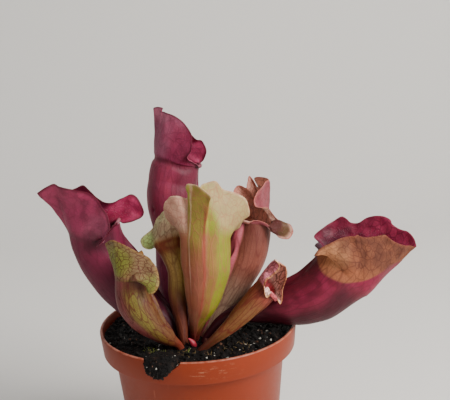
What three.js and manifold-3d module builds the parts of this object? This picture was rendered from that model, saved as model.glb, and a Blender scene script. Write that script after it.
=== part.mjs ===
// A pitcher plant in a round plastic nursery pot. Millimetres, +Z up. The origin is the centre of
// the pot's flat base. -Y is the front of the pot, where the rim is chipped, and +X is its right.
//
// The plant is a short creeping rhizome under the surface of the soil. It carries eight hollow leaves
// (pitchers), one new shoot and the stub of a dead leaf. Each pitcher is a thin-walled tube that starts
// as a solid stalk, opens in a mouth with a rolled lip, and ends behind the mouth in a waved hood.
import * as THREE from "three";
import { mergeVertices } from "three/addons/utils/BufferGeometryUtils.js";
import Module from "manifold-3d";

const wasm = await Module();
wasm.setup();

// ---- Driving dimensions ----
const POT_HEIGHT = 100;
const RIM_RADIUS = 60; // outside, at the top of the collar
const COLLAR_HEIGHT = 14.6;
const COLLAR_FOOT_RADIUS = 58.6; // outside, at the collar's lower edge
const BODY_TOP_RADIUS = 52; // outside, just under the collar
const BASE_RADIUS = 43;
const POT_WALL = 1.5;
const POT_SEGMENTS = 48;
const DRAIN_HOLES = 8;
const DRAIN_RADIUS = 3.5;
const DRAIN_CIRCLE = 31;
const DRAIN_SIDES = 12;

const CLEARANCE = 0.35; // between pieces that touch
const ROOM_GAP = 0.6; // round a stalk's hole in the soil, which has fewer sides than the stalk
const ROOM_DEPTH = 2.5; // how far the hole goes on below the stalk
const SOIL_LEVEL = 96.6;
const LEAF_WALL = 0.7;
const FOOT_LEVEL = 92.2; // where the stalks leave the rhizome
const STALK_RADIUS = 3.6; // a leaf is solid up to where its tube is wider than this
const STALK_ROWS = 4; // rows of a leaf's tube that can lie under the soil

// The chip in the front of the collar, seen from the front: x and z of its outline.
const CHIP = [
  [-30.5, 102],
  [-29.4, 93.8],
  [-26.1, 91],
  [-22.2, 88.8],
  [-18.2, 91],
  [-12.2, 95],
  [-8.2, 98.6],
  [-6.6, 102],
];
const CHIP_DEPTH = [40, 66]; // how far in front of the pot's axis the cut starts and ends
const SPILL_SIZE = [13.5, 12, 9.5]; // half sizes of the lump of soil in the chip
const SPILL_CENTRE = [-19.5, -49.6, 92.5];

// ---- The pitchers ----
// front: the way the mouth faces. path: centre line from the soil to the mouth, as x, y, z, half the
// width across and half the depth from front to back. margin: the hood's free edge, as the angle round
// the mouth (0 at the front, 180 at the back) and x, y, z from the mouth's centre. wing: how far the
// keel down the front stands out. dip: how much lower the mouth's sides are than its front. arch: how
// far the hood is drawn along the tube before it turns to its margin, as a share of its length.
const PITCHERS = [
  {
    name: "pitcher_left_red",
    colour: "#7d2a40",
    front: [1, 0, 0],
    dip: 6,
    arch: 0.45,
    wing: 5,
    path: [
      [-9.5, -18.5, FOOT_LEVEL, 2, 2],
      [-13, -17.5, 101, 2.5, 3],
      [-22.5, -14, 110.5, 6, 7.5],
      [-36, -7, 118, 9, 12],
      [-48, -1, 133.5, 12.5, 15],
      [-56.5, 3, 149.5, 13.5, 15.5],
      [-59.5, 4, 163, 13.5, 15.5],
    ],
    margin: [
      [-44, 16, -13, 5],
      [-54, 12, -16.5, -1],
      [-63, 6, -21, -5],
      [-73, 9.5, -28, 0],
      [-82, 12, -25, 5],
      [-96, 12, -22, 11],
      [-115, 8, -19, 18],
      [-135, 2, -15, 24],
      [-150, -11.5, -11, 27],
      [-158, -16.5, -9, 28],
      [-165, -21, -7, 29],
      [180, -31, -2, 23],
      [165, -24, 2, 25],
      [148, -14.5, 5, 22],
      [141, -9.5, 7, 22.5],
      [135, -5, 8, 24],
      [122, -1, 10, 19],
      [108, 5, 12, 12],
      [93, 11, 13, 11],
      [82, 17, 14, 13],
      [73, 22.5, 15, 15],
      [64, 27, 15, 11],
      [55, 29.5, 14, 3],
      [46, 25, 12, -1],
      [36, 17, 8, -2],
    ],
  },
  {
    name: "pitcher_back_red",
    colour: "#6f2438",
    front: [1, 0, 0],
    dip: 0,
    arch: 0.6,
    wing: 3,
    path: [
      [-6, -14.5, FOOT_LEVEL, 2, 2.5],
      [-7, -13.5, 99.5, 3, 3],
      [-12, -2, 109, 7, 6.5],
      [-14, 11, 124, 10, 10],
      [-12.5, 22, 146.5, 10.5, 11.5],
      [-12.5, 28, 170.5, 14.5, 15.5],
      [-11, 31, 182.5, 14, 15],
      [-8.5, 32, 193.5, 13.5, 14.5],
    ],
    margin: [
      [-36, 11, -11, 1],
      [-50, 8, -15, 4],
      [-64, 7, -17, 7],
      [-80, 10, -17, 11],
      [-97, 11, -15, 16],
      [-115, 9, -13, 23],
      [-133, 3.5, -10, 29],
      [-150, -3, -7, 32],
      [-167, -7, -4, 33],
      [180, -9, -1, 35],
      [168, -11, 2, 31.5],
      [148, -3.5, 4, 29],
      [132, 2.5, 5, 25],
      [115, 8, 7, 18],
      [98, 13, 9, 12],
      [85, 16.5, 10, 10],
      [72, 19, 10, 4],
      [58, 17, 10, -1.5],
      [40, 14, 9, -4],
    ],
  },
  {
    name: "pitcher_front_veined",
    colour: "#8f8a3e",
    front: [1, 0, 0],
    dip: 0,
    arch: 0.45,
    wing: 2,
    path: [
      [-8.5, -30.5, FOOT_LEVEL, 2, 2],
      [-11, -31, 98.5, 2, 2.5],
      [-17, -33, 104.5, 4.5, 4.5],
      [-26.5, -34, 114, 7.5, 8],
      [-33, -33, 124, 9.5, 10],
      [-35.5, -31, 133, 9, 10],
      [-35.5, -30, 141, 9, 9.5],
    ],
    margin: [
      [-38, 11, -5, 2],
      [-50, 9, -11, -2],
      [-60, 11, -13, -5],
      [-69, 13.5, -13, -4.5],
      [-80, 16, -12, -1],
      [-94, 16.5, -10, 3],
      [-108, 15, -8, 9],
      [-124, 11, -7, 14.5],
      [-140, 2.5, -6, 19],
      [-160, -7, -4, 24],
      [180, -12, 0, 22.5],
      [158, -11, 4, 18.5],
      [138, 0.5, 8, 13.5],
      [120, 6, 11, 13],
      [100, 7, 12, 9],
      [82, 8, 11, 2],
      [62, 8, 10, -2],
      [40, 9, 7, -2],
    ],
  },
  {
    name: "pitcher_olive",
    colour: "#8a7433",
    front: [0, 1, 0],
    dip: 0,
    arch: 0.45,
    wing: 2,
    path: [
      [-6, -25.5, FOOT_LEVEL, 2, 2],
      [-8, -24.5, 97.5, 2.5, 2.5],
      [-9, -20, 110, 4, 4],
      [-10.5, -15, 123.5, 5.5, 5],
      [-10, -10, 136.5, 5.5, 6.5],
      [-12, -7, 146, 7, 8],
      [-14, -4, 152.5, 9, 8.5],
    ],
    margin: [
      [46, -5, 8, -2],
      [58, -10, 5, -4],
      [68, -13, 3, -4],
      [78, -16, 2, -2],
      [88, -17, 1, 2],
      [98, -15, 1, 5],
      [110, -10, 1, 9],
      [123, -7, 0, 15],
      [138, -4, 0, 18],
      [153, -1, -1, 21],
      [180, 5, -1, 25],
      [-150, 10, 0, 23],
      [-130, 15, 1, 18],
      [-110, 17, 3, 11],
      [-90, 18, 5, 5],
      [-70, 16, 8, -1],
      [-50, 8, 10, -3],
    ],
  },
  {
    name: "pitcher_pale",
    colour: "#b9b06a",
    front: [0, 1, 0],
    dip: 0,
    arch: 0.45,
    wing: 2,
    path: [
      [-2, -21, FOOT_LEVEL, 2, 2],
      [-2, -20.5, 97, 2.5, 2.5],
      [0.5, -21, 108.5, 5, 4],
      [4, -21.5, 121, 9.5, 8],
      [7, -22, 139, 13.5, 11.5],
      [7.5, -21.5, 149, 14.5, 12.5],
      [8, -20, 159.5, 14.5, 12.5],
    ],
    margin: [
      [50, -10, 11, -1],
      [70, -19, 8, 6.5],
      [85, -23, 6, 14],
      [100, -22.5, 3, 21],
      [115, -18.5, 0, 26],
      [132, -10, -2, 25],
      [151, -8, -4.5, 34],
      [166, -3, -9, 31],
      [180, 4, -13, 27],
      [-158, 5, -7, 32],
      [-144, 7, -1, 34],
      [-130, 12.5, 1, 28],
      [-118, 17.5, 2, 26],
      [-105, 23, 4, 22.5],
      [-90, 26.5, 6, 14],
      [-82, 25.5, 7, 9.5],
      [-68, 19, 10, 2],
      [-50, 11, 12, -3],
    ],
  },
  {
    name: "pitcher_right_pink",
    colour: "#9a5a50",
    front: [-0.75, -0.65, 0],
    dip: 0,
    arch: 0.45,
    wing: 5,
    path: [
      [1.5, -14.5, FOOT_LEVEL, 2, 2],
      [3, -13, 96, 2.5, 2.5],
      [9.5, -9, 103.5, 5, 4.5],
      [18.5, -4, 114.5, 8, 7.5],
      [26.5, -1, 129, 10, 10],
      [33.5, 1, 144, 11, 11],
      [37.5, 3, 161, 9, 8.5],
    ],
    margin: [
      [42, 3.5, -10, 3],
      [62, 8, -10.5, 3],
      [78, 14, -12, -2.5],
      [90, 18.5, -12, -7],
      [100, 21.5, -12, -4],
      [112, 17.5, -9, 1.5],
      [124, 10.5, -8, 7],
      [136, 3, -12, 13],
      [146, 0, -14, 17.5],
      [158, 5.5, -11, 25.5],
      [168, 9, -6, 27],
      [180, 1, 1, 26.5],
      [-172, 3, 3, 20.5],
      [-160, -2, 1, 28],
      [-146, -4, 0, 21],
      [-130, -9, -1, 23],
      [-112, -11.5, -3, 18.5],
      [-92, -10.5, 2, 12.5],
      [-72, -10, 4, 7.5],
      [-52, -10, 3, 4],
      [-36, -9.5, 0, 2.5],
    ],
  },
  {
    name: "pitcher_right_small",
    colour: "#a2552c",
    front: [0.45, -0.75, -0.3],
    dip: 0,
    arch: 0.8,
    wing: 1.5,
    path: [
      [-0.5, -34.5, FOOT_LEVEL, 2, 2],
      [1.5, -35.5, 96, 2, 2],
      [9, -35, 102, 3, 2.5],
      [18.5, -33, 109, 4.5, 4],
      [27.5, -30.5, 116.5, 6, 6],
      [35.5, -28, 123.5, 7, 7],
      [41, -26, 128, 7.5, 7],
    ],
    margin: [
      [46, 7, -2, -6.5],
      [64, 9, -2, -8],
      [79, 10.5, -1, -4],
      [92, 11, -1, 0],
      [110, 12, 0, 5],
      [125, 13, 1, 9],
      [150, 12.5, 1, 14],
      [164, 10, 0, 16],
      [-175, 8, -2.5, 17],
      [-155, 8.5, -6, 17],
      [-122, 3.5, -9, 11.5],
      [-106, 0.5, -10, 10.5],
      [-78, -1.5, -10.5, 5.5],
      [-64, -1.5, -10, 2],
      [-50, 0.5, -8, -1.5],
    ],
  },
  {
    name: "pitcher_right_red",
    colour: "#74182c",
    front: [-0.7, 0, 0.7],
    dip: 0,
    arch: 0.45,
    wing: 3,
    path: [
      [3, -23, FOOT_LEVEL, 2, 2],
      [4.5, -22.5, 98, 2, 2],
      [12.5, -21, 106, 3, 3.5],
      [22.5, -19, 110, 4, 4.5],
      [39, -15, 112.5, 7, 9],
      [56.5, -15, 114.5, 11, 13.5],
      [70.5, -15, 119, 13.5, 16.5],
      [82, -14, 127, 14, 18],
      [88, -13, 132, 14, 20.5],
    ],
    margin: [
      [35, -16, -10, 16.5],
      [50, -18, -15, 16.5],
      [65, -14, -18, 21.5],
      [80, -7, -19, 25.5],
      [98, 1.5, -18, 27.5],
      [108, 6.5, -17.5, 28],
      [120, 13, -16, 25.5],
      [140, 23, -13, 25.5],
      [160, 32.5, -8, 18],
      [180, 42.5, -1, 13.5],
      [-162, 42.5, 5, 18],
      [-143, 35.5, 10, 21.5],
      [-128, 30.5, 13.5, 26.5],
      [-120, 27, 15, 28.5],
      [-100, 17, 18, 27],
      [-93, 12, 18.5, 24],
      [-85, 7.5, 19, 24.5],
      [-72, 2, 19, 28.5],
      [-58, -8, 17, 23.5],
      [-45, -15, 14, 18.5],
      [-30, -11, 8, 15.5],
    ],
  },
];

const NORMAL_PASSES = 8;
const TUBE_ROWS = 10;
const HOOD_ROWS = 5;
const LIP_ANGLES = [-22, -9, 0, 9, 22];
const LIP_OUT = 1.6; // how far the lip flares past the mouth
const LIP_UP = 1.2;
const HOOD_LEAVE = 0.6; // share of the way to its margin that the hood turns by as it leaves the mouth
const HOOD_LEAVE_IN = 0.3; // the same where the margin lies inside the mouth
const KEEL_FROM = 0.2; // the keel's lower end, as a share of the tube
const KEEL_LENGTH = 0.75;
const DIP_FROM = 0.7; // the mouth's sides start to drop here, as a share of the tube

// ---- Geometry helpers ----
const vec = (a) => new THREE.Vector3(a[0], a[1], a[2]);
const radians = THREE.MathUtils.degToRad;
const clamp = THREE.MathUtils.clamp;

// A smooth curve through rows of numbers, at t from 0 to 1 (Catmull-Rom on every column).
function through(rows, t) {
  const last = rows.length - 1;
  const place = clamp(t, 0, 1) * last;
  const i = Math.min(Math.floor(place), last - 1);
  const u = place - i;
  const [a, b, c, d] = [-1, 0, 1, 2].map((k) => rows[clamp(i + k, 0, last)]);
  return b.map((value, k) => {
    const slope = (c[k] - a[k]) * u;
    const bend = (2 * a[k] - 5 * value + 4 * c[k] - d[k]) * u * u;
    const turn = (3 * value - a[k] - 3 * c[k] + d[k]) * u * u * u;
    return 0.5 * (2 * value + slope + bend + turn);
  });
}

// Collects triangles from grids of points, and closes them into one body.
class Skin {
  constructor() {
    this.points = [];
  }
  triangle(a, b, c) {
    this.points.push(a, b, c);
  }
  // rows of points round a closed ring, counter-clockwise as seen from the last row
  wrap(rows, inward = false) {
    for (let i = 0; i + 1 < rows.length; i++) {
      const n = rows[i].length;
      for (let j = 0; j < n; j++) {
        const k = (j + 1) % n;
        const [a, b, c, d] = [rows[i][j], rows[i][k], rows[i + 1][k], rows[i + 1][j]];
        if (inward) {
          this.triangle(a, c, b);
          this.triangle(a, d, c);
        } else {
          this.triangle(a, b, c);
          this.triangle(a, c, d);
        }
      }
    }
  }
  // closes a ring with a fan; up says which way the fan faces
  cap(ring, up, centre = middle(ring)) {
    ring.forEach((p, j) => {
      const q = ring[(j + 1) % ring.length];
      if (up) this.triangle(centre, p, q);
      else this.triangle(centre, q, p);
    });
  }
  geometry() {
    const g = new THREE.BufferGeometry().setFromPoints(this.points);
    return mergeVertices(g, 1e-4);
  }
}

function middle(ring) {
  const sum = new THREE.Vector3();
  ring.forEach((p) => sum.add(p));
  return sum.divideScalar(ring.length);
}

// A closed body through rings of points, from the bottom ring to the top one.
function loft(rings) {
  const skin = new Skin();
  skin.wrap(rings);
  skin.cap(rings[0], false);
  skin.cap(rings.at(-1), true);
  return skin.geometry();
}

function toSolid(geometry) {
  const bare = geometry.clone();
  bare.deleteAttribute("normal");
  bare.deleteAttribute("uv");
  const merged = mergeVertices(bare, 1e-4);
  return new wasm.Manifold(
    new wasm.Mesh({
      numProp: 3,
      vertProperties: merged.attributes.position.array,
      triVerts: new Uint32Array(merged.index.array),
    }),
  );
}

// The largest body of a solid, as a geometry.
function toGeometry(solid) {
  const bodies = solid.decompose().sort((a, b) => b.volume() - a.volume());
  const mesh = bodies[0].getMesh();
  const geometry = new THREE.BufferGeometry();
  geometry.setAttribute("position", new THREE.BufferAttribute(mesh.vertProperties, 3));
  geometry.setIndex(new THREE.BufferAttribute(mesh.triVerts, 1));
  return geometry;
}

function named(name, geometry, colour, roughness) {
  const material = new THREE.MeshStandardMaterial({ color: colour, roughness, metalness: 0 });
  const mesh = new THREE.Mesh(geometry, material);
  mesh.name = name;
  return mesh;
}

// ---- Pitchers ----
// Centre, half width, half depth and directions of the tube at t, from the foot 0 to the mouth 1.
function stationAt(leaf, t) {
  const step = 0.01;
  const [x, y, z, side, depth] = through(leaf.path, t);
  const along = vec(through(leaf.path, t + step)).sub(vec(through(leaf.path, t - step))).normalize();
  const front = vec(leaf.front);
  front.addScaledVector(along, -front.dot(along)).normalize();
  const across = new THREE.Vector3().crossVectors(along, front);
  const dip = leaf.dip * THREE.MathUtils.smoothstep(t, DIP_FROM, 1);
  return { centre: vec([x, y, z]), side, depth, dip, along, front, across };
}

function tubePoint(station, angle, keel, grow = 0) {
  const forward = (station.depth + grow) * Math.cos(angle) + keel;
  const sideways = (station.side + grow) * Math.sin(angle);
  return station.centre
    .clone()
    .addScaledVector(station.front, forward)
    .addScaledVector(station.across, sideways)
    .addScaledVector(station.along, -station.dip * Math.sin(angle) ** 2);
}

// The keel rises from the stalk, is widest low on the tube and runs out under the lip.
function keelAt(leaf, t) {
  return leaf.wing * Math.sin(Math.PI * clamp((t - KEEL_FROM) / KEEL_LENGTH, 0, 1)) ** 1.5;
}

// One column of the hood: from the mouth's edge out to the margin.
function hoodPoint(start, end, outward, along, arch, u) {
  const reach = new THREE.Vector3().subVectors(end, start);
  const turn = Math.atan2(reach.dot(outward), reach.dot(along));
  const leave = turn > 0 ? HOOD_LEAVE * turn : -HOOD_LEAVE_IN * turn;
  const bend = start
    .clone()
    .addScaledVector(along, arch * reach.length() * Math.cos(leave))
    .addScaledVector(outward, arch * reach.length() * Math.sin(leave));
  return start
    .clone()
    .multiplyScalar((1 - u) ** 2)
    .addScaledVector(bend, 2 * u * (1 - u))
    .addScaledVector(end, u * u);
}

function columnsOf(leaf) {
  const lips = LIP_ANGLES.map((angle) => ({ angle: (angle + 360) % 360 }));
  const margin = leaf.margin.map(([angle, ...offset]) => ({ angle: (angle + 360) % 360, offset }));
  return [...lips, ...margin].sort((a, b) => a.angle - b.angle);
}

// Outer surface of a pitcher: rows from the foot over the mouth to the hood's margin.
function pitcherRows(leaf) {
  const columns = columnsOf(leaf);
  const rows = [];
  for (let i = 0; i <= TUBE_ROWS; i++) {
    const t = i / TUBE_ROWS;
    const station = stationAt(leaf, t);
    rows.push(
      columns.map(({ angle }) => tubePoint(station, radians(angle), angle ? 0 : keelAt(leaf, t))),
    );
  }
  const mouth = stationAt(leaf, 1);
  for (let k = 1; k <= HOOD_ROWS; k++) {
    rows.push(
      columns.map(({ angle, offset }, j) => {
        const start = rows[TUBE_ROWS][j];
        const outward = start.clone().sub(mouth.centre).normalize();
        const lip = start
          .clone()
          .addScaledVector(outward, LIP_OUT)
          .addScaledVector(mouth.along, LIP_UP);
        const end = offset ? mouth.centre.clone().add(vec(offset)) : lip;
        return hoodPoint(start, end, outward, mouth.along, leaf.arch, k / HOOD_ROWS);
      }),
    );
  }
  return rows;
}

// The next and previous points up, down and round a surface of rows and closed columns.
function neighbours(rows, i, j) {
  const n = rows[i].length;
  const above = rows[Math.min(i + 1, rows.length - 1)][j];
  const below = rows[Math.max(i - 1, 0)][j];
  return { above, below, after: rows[i][(j + 1) % n], before: rows[i][(j + n - 1) % n] };
}

// Outward direction at each point, evened out so that a wall set in by it doesn't cross itself.
function normalsOf(rows) {
  let normals = rows.map((row, i) =>
    row.map((_, j) => {
      const { above, below, after, before } = neighbours(rows, i, j);
      const up = above.clone().sub(below);
      const round = after.clone().sub(before);
      return new THREE.Vector3().crossVectors(round, up).normalize();
    }),
  );
  for (let pass = 0; pass < NORMAL_PASSES; pass++) {
    normals = normals.map((row, i) =>
      row.map((normal, j) => {
        const { above, below, after, before } = neighbours(normals, i, j);
        const sum = normal.clone().add(above).add(below).add(after).add(before);
        return sum.normalize();
      }),
    );
  }
  return normals;
}

function pitcher(leaf) {
  const rows = pitcherRows(leaf);
  const bare = pitcherRows({ ...leaf, wing: 0 });
  const normals = normalsOf(bare);
  const firstHollow = bare.findIndex((_, i) => {
    const station = stationAt(leaf, i / TUBE_ROWS);
    return Math.min(station.side, station.depth) > STALK_RADIUS;
  });
  const inside = bare
    .map((row, i) => row.map((p, j) => p.clone().addScaledVector(normals[i][j], -LEAF_WALL)))
    .slice(firstHollow);
  const skin = new Skin();
  skin.wrap(rows);
  skin.wrap(inside, true);
  skin.wrap([rows.at(-1), inside.at(-1)]);
  skin.cap(rows[0], false);
  skin.cap(inside[0], true);
  return skin.geometry();
}

// The room that a pitcher's stalk takes in the soil, down to the rhizome's own room.
function stalkRoom(leaf) {
  const sides = 10;
  const rings = [];
  for (let row = 0; row <= STALK_ROWS; row++) {
    const station = stationAt(leaf, row / TUBE_ROWS);
    rings.push(
      Array.from({ length: sides }, (_, j) =>
        tubePoint(station, radians((360 * j) / sides), 0, ROOM_GAP),
      ),
    );
  }
  rings.unshift(rings[0].map((p) => p.clone().add(vec([0, 0, -ROOM_DEPTH]))));
  return toSolid(loft(rings));
}

// ---- Pot ----
// The room of the chip in the collar. Its sides come in by the shrink, and its slanting lower edge
// rises by more than that, so that the gap square to the edge is at least as wide.
function chipPrism(shrink) {
  const middleX = (CHIP[0][0] + CHIP.at(-1)[0]) / 2;
  const rise = 1.6 * shrink;
  const shape = new THREE.Shape(
    CHIP.map(([x, z]) => new THREE.Vector2(x - Math.sign(x - middleX) * shrink, z + rise)),
  );
  const [near, far] = CHIP_DEPTH;
  const geometry = new THREE.ExtrudeGeometry(shape, { depth: far - near, bevelEnabled: false });
  geometry.rotateX(Math.PI / 2);
  geometry.translate(0, -near, 0);
  return toSolid(geometry);
}

function potProfile() {
  const ledge = POT_HEIGHT - COLLAR_HEIGHT;
  const outside = [
    [0, 0],
    [BASE_RADIUS - 1, 0],
    [BASE_RADIUS, 1],
    [BODY_TOP_RADIUS, ledge - 1],
    [BODY_TOP_RADIUS + 1.4, ledge],
    [COLLAR_FOOT_RADIUS - 0.8, ledge],
    [COLLAR_FOOT_RADIUS, ledge + 0.8],
    [RIM_RADIUS, POT_HEIGHT - 1],
    [RIM_RADIUS - 0.5, POT_HEIGHT],
  ];
  return { outside, inside: innerProfile(0) };
}

// The inside of the pot from the rim down to the floor, drawn in by a margin.
function innerProfile(margin) {
  const ledge = POT_HEIGHT - COLLAR_HEIGHT + POT_WALL + margin;
  const wall = POT_WALL + margin;
  return [
    [RIM_RADIUS - 0.4 - wall, POT_HEIGHT],
    [COLLAR_FOOT_RADIUS - wall, ledge + 0.5],
    [COLLAR_FOOT_RADIUS - wall - 0.8, ledge],
    [BODY_TOP_RADIUS - wall + 1, ledge],
    [BODY_TOP_RADIUS - wall, ledge - 1.2],
    [BASE_RADIUS - wall, wall + 1],
    [BASE_RADIUS - wall - 1, wall],
    [0, wall],
  ];
}

function pot() {
  const { outside, inside } = potProfile();
  const profile = [...outside, ...inside].map(([r, z]) => new THREE.Vector2(r, z));
  const lathe = new THREE.LatheGeometry(profile, POT_SEGMENTS);
  lathe.rotateX(Math.PI / 2);
  let solid = toSolid(lathe);
  for (let i = 0; i < DRAIN_HOLES; i++) {
    const length = 5 * POT_WALL;
    const drill = new THREE.CylinderGeometry(DRAIN_RADIUS, DRAIN_RADIUS, length, DRAIN_SIDES);
    drill.rotateX(Math.PI / 2);
    const turn = (2 * Math.PI * (i + 0.5)) / DRAIN_HOLES;
    drill.translate(DRAIN_CIRCLE * Math.cos(turn), DRAIN_CIRCLE * Math.sin(turn), 0);
    solid = solid.subtract(toSolid(drill));
  }
  return toGeometry(solid.subtract(chipPrism(0)));
}

// ---- Rhizome, shoot and stub ----
const RHIZOME_STATIONS = [
  // y, z of the centre, radius
  [-41, 86.2, 1.5],
  [-39.5, 86.2, 4],
  [-35, 85.8, 5.6],
  [-29, 85.3, 6.2],
  [-22, 84.9, 6.6],
  [-15, 84.8, 6.2],
  [-9.5, 84.4, 4.6],
  [-7.5, 84, 2],
];
const RHIZOME_X = -2.5;
const RHIZOME_KNOBS = 0.06; // how far its ridges stand out, as a share of its radius

// Grown, it is the rhizome's room in the soil.
function rhizome(grow = 0) {
  const sides = 12;
  const rings = RHIZOME_STATIONS.map(([y, z, radius], i) =>
    Array.from({ length: sides }, (_, j) => {
      const angle = (2 * Math.PI * j) / sides;
      const knob = radius * (1 + RHIZOME_KNOBS * Math.cos(3 * angle + 2 * i)) + grow;
      return vec([RHIZOME_X + knob * Math.sin(angle), y, z + knob * Math.cos(angle)]);
    }),
  );
  rings[0].forEach((p) => (p.y -= grow));
  rings.at(-1).forEach((p) => (p.y += grow));
  return loft(rings);
}

const SHOOT = [
  // x, y, z, half width
  [-2.2, -28.5, FOOT_LEVEL, 1.2],
  [-1.8, -28.7, 96, 1.4],
  [-2.6, -29, 98.4, 1.7],
  [-3.8, -29.1, 100.2, 1.2],
  [-5.2, -29.2, 101.8, 0.35],
];
const STUB = [
  [3.6, -28, FOOT_LEVEL, 1.3],
  [4.4, -28.3, 97, 1.4],
  [5.6, -28.6, 100.2, 1.3],
];

// A short rod through stations of x, y, z and half width. Grown, it is the rod's room in the soil.
function rod(stations, grow = 0) {
  const sides = 8;
  return loft(
    stations.map(([x, y, z, radius], i) =>
      Array.from({ length: sides }, (_, j) => {
        const angle = (2 * Math.PI * j) / sides;
        const reach = radius + grow;
        const drop = i === 0 && grow > 0 ? ROOM_DEPTH : 0;
        return vec([x + reach * Math.cos(angle), y + reach * Math.sin(angle), z - drop]);
      }),
    ),
  );
}

// ---- Soil ----
const LUMP_HEIGHT = 0.7; // of the soil's wide lumps
const GRAIN_HEIGHT = 0.6; // of its fine ones
const EDGE_DROP = 1.5; // the soil has sunk by this much beside the pot's wall

// Height of the soil at x, y.
function soilTop(x, y) {
  const wide = Math.sin(0.21 * x + 1.1) * Math.cos(0.19 * y + 0.4);
  const fine = Math.sin(0.63 * x + 0.37 * y) * Math.cos(0.55 * y - 0.31 * x + 2);
  const sunk = EDGE_DROP * (Math.hypot(x, y) / COLLAR_FOOT_RADIUS) ** 4;
  return SOIL_LEVEL + LUMP_HEIGHT * wide + GRAIN_HEIGHT * fine - sunk;
}

function soilBody() {
  const radii = [10, 20, 30, 40, 49];
  const inner = innerProfile(CLEARANCE).slice(1);
  const ringAt = (r, height) =>
    Array.from({ length: POT_SEGMENTS }, (_, j) => {
      const angle = (2 * Math.PI * j) / POT_SEGMENTS;
      const [x, y] = [r * Math.cos(angle), r * Math.sin(angle)];
      return vec([x, y, height(x, y)]);
    });
  const edge = inner[0][0] + 0.7;
  const surface = [...radii, edge].map((r) => ringAt(r, soilTop));
  const wall = inner.slice(0, -1).map(([r, z]) => ringAt(r, () => z));
  const rings = [...wall.reverse(), ...surface.reverse()];
  return toSolid(loft(rings));
}

// Soil that has run out through the chip in the collar.
function spill() {
  const ball = new THREE.SphereGeometry(1, 20, 14);
  ball.rotateX(Math.PI / 2);
  ball.scale(...SPILL_SIZE);
  ball.translate(...SPILL_CENTRE);
  return toSolid(ball).intersect(chipPrism(CLEARANCE + 0.1));
}

function soil(leaves) {
  let solid = soilBody().add(spill());
  for (const leaf of leaves) solid = solid.subtract(stalkRoom(leaf));
  solid = solid.subtract(toSolid(rhizome(CLEARANCE)));
  solid = solid.subtract(toSolid(rod(SHOOT, ROOM_GAP)));
  solid = solid.subtract(toSolid(rod(STUB, ROOM_GAP)));
  return toGeometry(solid);
}

// ---- The part ----
const plant = new THREE.Group();
plant.add(named("pot", pot(), "#c0603c", 0.5));
plant.add(named("soil", soil(PITCHERS), "#1d1815", 0.95));
plant.add(named("rhizome", rhizome(), "#5a3b26", 0.8));
for (const leaf of PITCHERS) plant.add(named(leaf.name, pitcher(leaf), leaf.colour, 0.45));
plant.add(named("shoot", rod(SHOOT), "#a8313f", 0.5));
plant.add(named("dead_stub", rod(STUB), "#5b2a22", 0.8));

export default plant;
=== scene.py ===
"""A pitcher plant in a round nursery pot: the finished look of the part, around its CAD frame.

Every leaf is drawn again from its own centre line and hood margin, as a fine thin-walled shell with a
rolled lip, a thin keel and a waved edge. Washes of colour along and round it tint it under a net of
veins, and fine hairs grow inside its hood. The pot is a turned profile with drain holes, a chipped
collar and a hairline crack. The soil is a rough bed with crumbs, perlite, bark, moss and fibres, and a
lump of it bulges out through the chip.
"""
import math

import bmesh
import bpy
import numpy as np
from bpy.props import FloatProperty, FloatVectorProperty, IntProperty, PointerProperty
from mathutils import Matrix, Vector, noise


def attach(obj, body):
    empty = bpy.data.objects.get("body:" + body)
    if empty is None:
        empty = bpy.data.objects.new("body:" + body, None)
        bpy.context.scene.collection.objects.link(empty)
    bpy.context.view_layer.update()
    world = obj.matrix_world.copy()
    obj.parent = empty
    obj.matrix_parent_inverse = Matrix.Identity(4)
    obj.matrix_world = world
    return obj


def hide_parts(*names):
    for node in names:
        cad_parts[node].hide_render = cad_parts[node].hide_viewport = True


bl_info = {
    "name": "Potted Pitcher Plant",
    "version": (1, 0, 0),
    "blender": (4, 5, 0),
    "location": "View3D > Sidebar > Pitcher Plant",
    "description": "Dresses the frame of a pitcher plant in its nursery pot",
    "category": "Add Mesh",
}

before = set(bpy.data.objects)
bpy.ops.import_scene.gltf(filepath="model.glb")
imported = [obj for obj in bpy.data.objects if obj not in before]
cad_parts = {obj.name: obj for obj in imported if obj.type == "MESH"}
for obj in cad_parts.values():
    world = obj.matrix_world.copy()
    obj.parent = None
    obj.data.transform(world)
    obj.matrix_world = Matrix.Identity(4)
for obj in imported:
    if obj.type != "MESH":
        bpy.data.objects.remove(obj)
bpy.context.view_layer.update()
MM = 0.001
PER_SQUARE_CM = 1.0e4  # turns a count to a square centimetre into one to a square metre
BODY = "root"
GROUPS = {}  # node groups that several materials or pieces use, by name

# ---- Shapes, in millimetres, as the frame has them ----
FOOT_LEVEL = 92.2  # where the stalks leave the rhizome
STALK_RADIUS = 3.6  # a leaf is solid up to where its tube is wider than this
LIP_ANGLES = (-22, -9, 0, 9, 22)  # the rolled lip's columns, in degrees from the mouth's front
LIP_OUT = 1.6  # how far the lip flares past the mouth
LIP_UP = 1.2
LIP_RISE = 1.3  # how much higher than wide its roll is
LIP_SOFT = 15  # degrees beside the lip over which the hood's waves set in
HOOD_LEAVE = 0.6  # share of the way to its margin that the hood turns by as it leaves the mouth
HOOD_LEAVE_IN = 0.3  # the same where the margin lies inside the mouth
KEEL_FROM = 0.2  # the keel's lower end, as a share of the tube
KEEL_LENGTH = 0.75
HAIR_REACH = (1.2, 1.3, 1.8, 1.85)  # hairs grow inside the hood: start, full, full until, gone
HAIR_WIDTH = 0.05
DIP_FROM = 0.7  # the mouth's sides start to drop here, as a share of the tube
MARGIN_THINNING = 0.45  # share of the wall that is gone at the hood's margin
NET_PULL = (1.6, 1.0)  # how much longer than wide the fine vein cells are, on tube and hood
BOLD_PULL = (9.0, 1.7)  # the same for the bold veins
BORDER_DRIFT = 9  # size of the noise by which a wash's border wanders
PATCH_SIZE = 5  # size of the patches that a wash breaks up into
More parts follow.
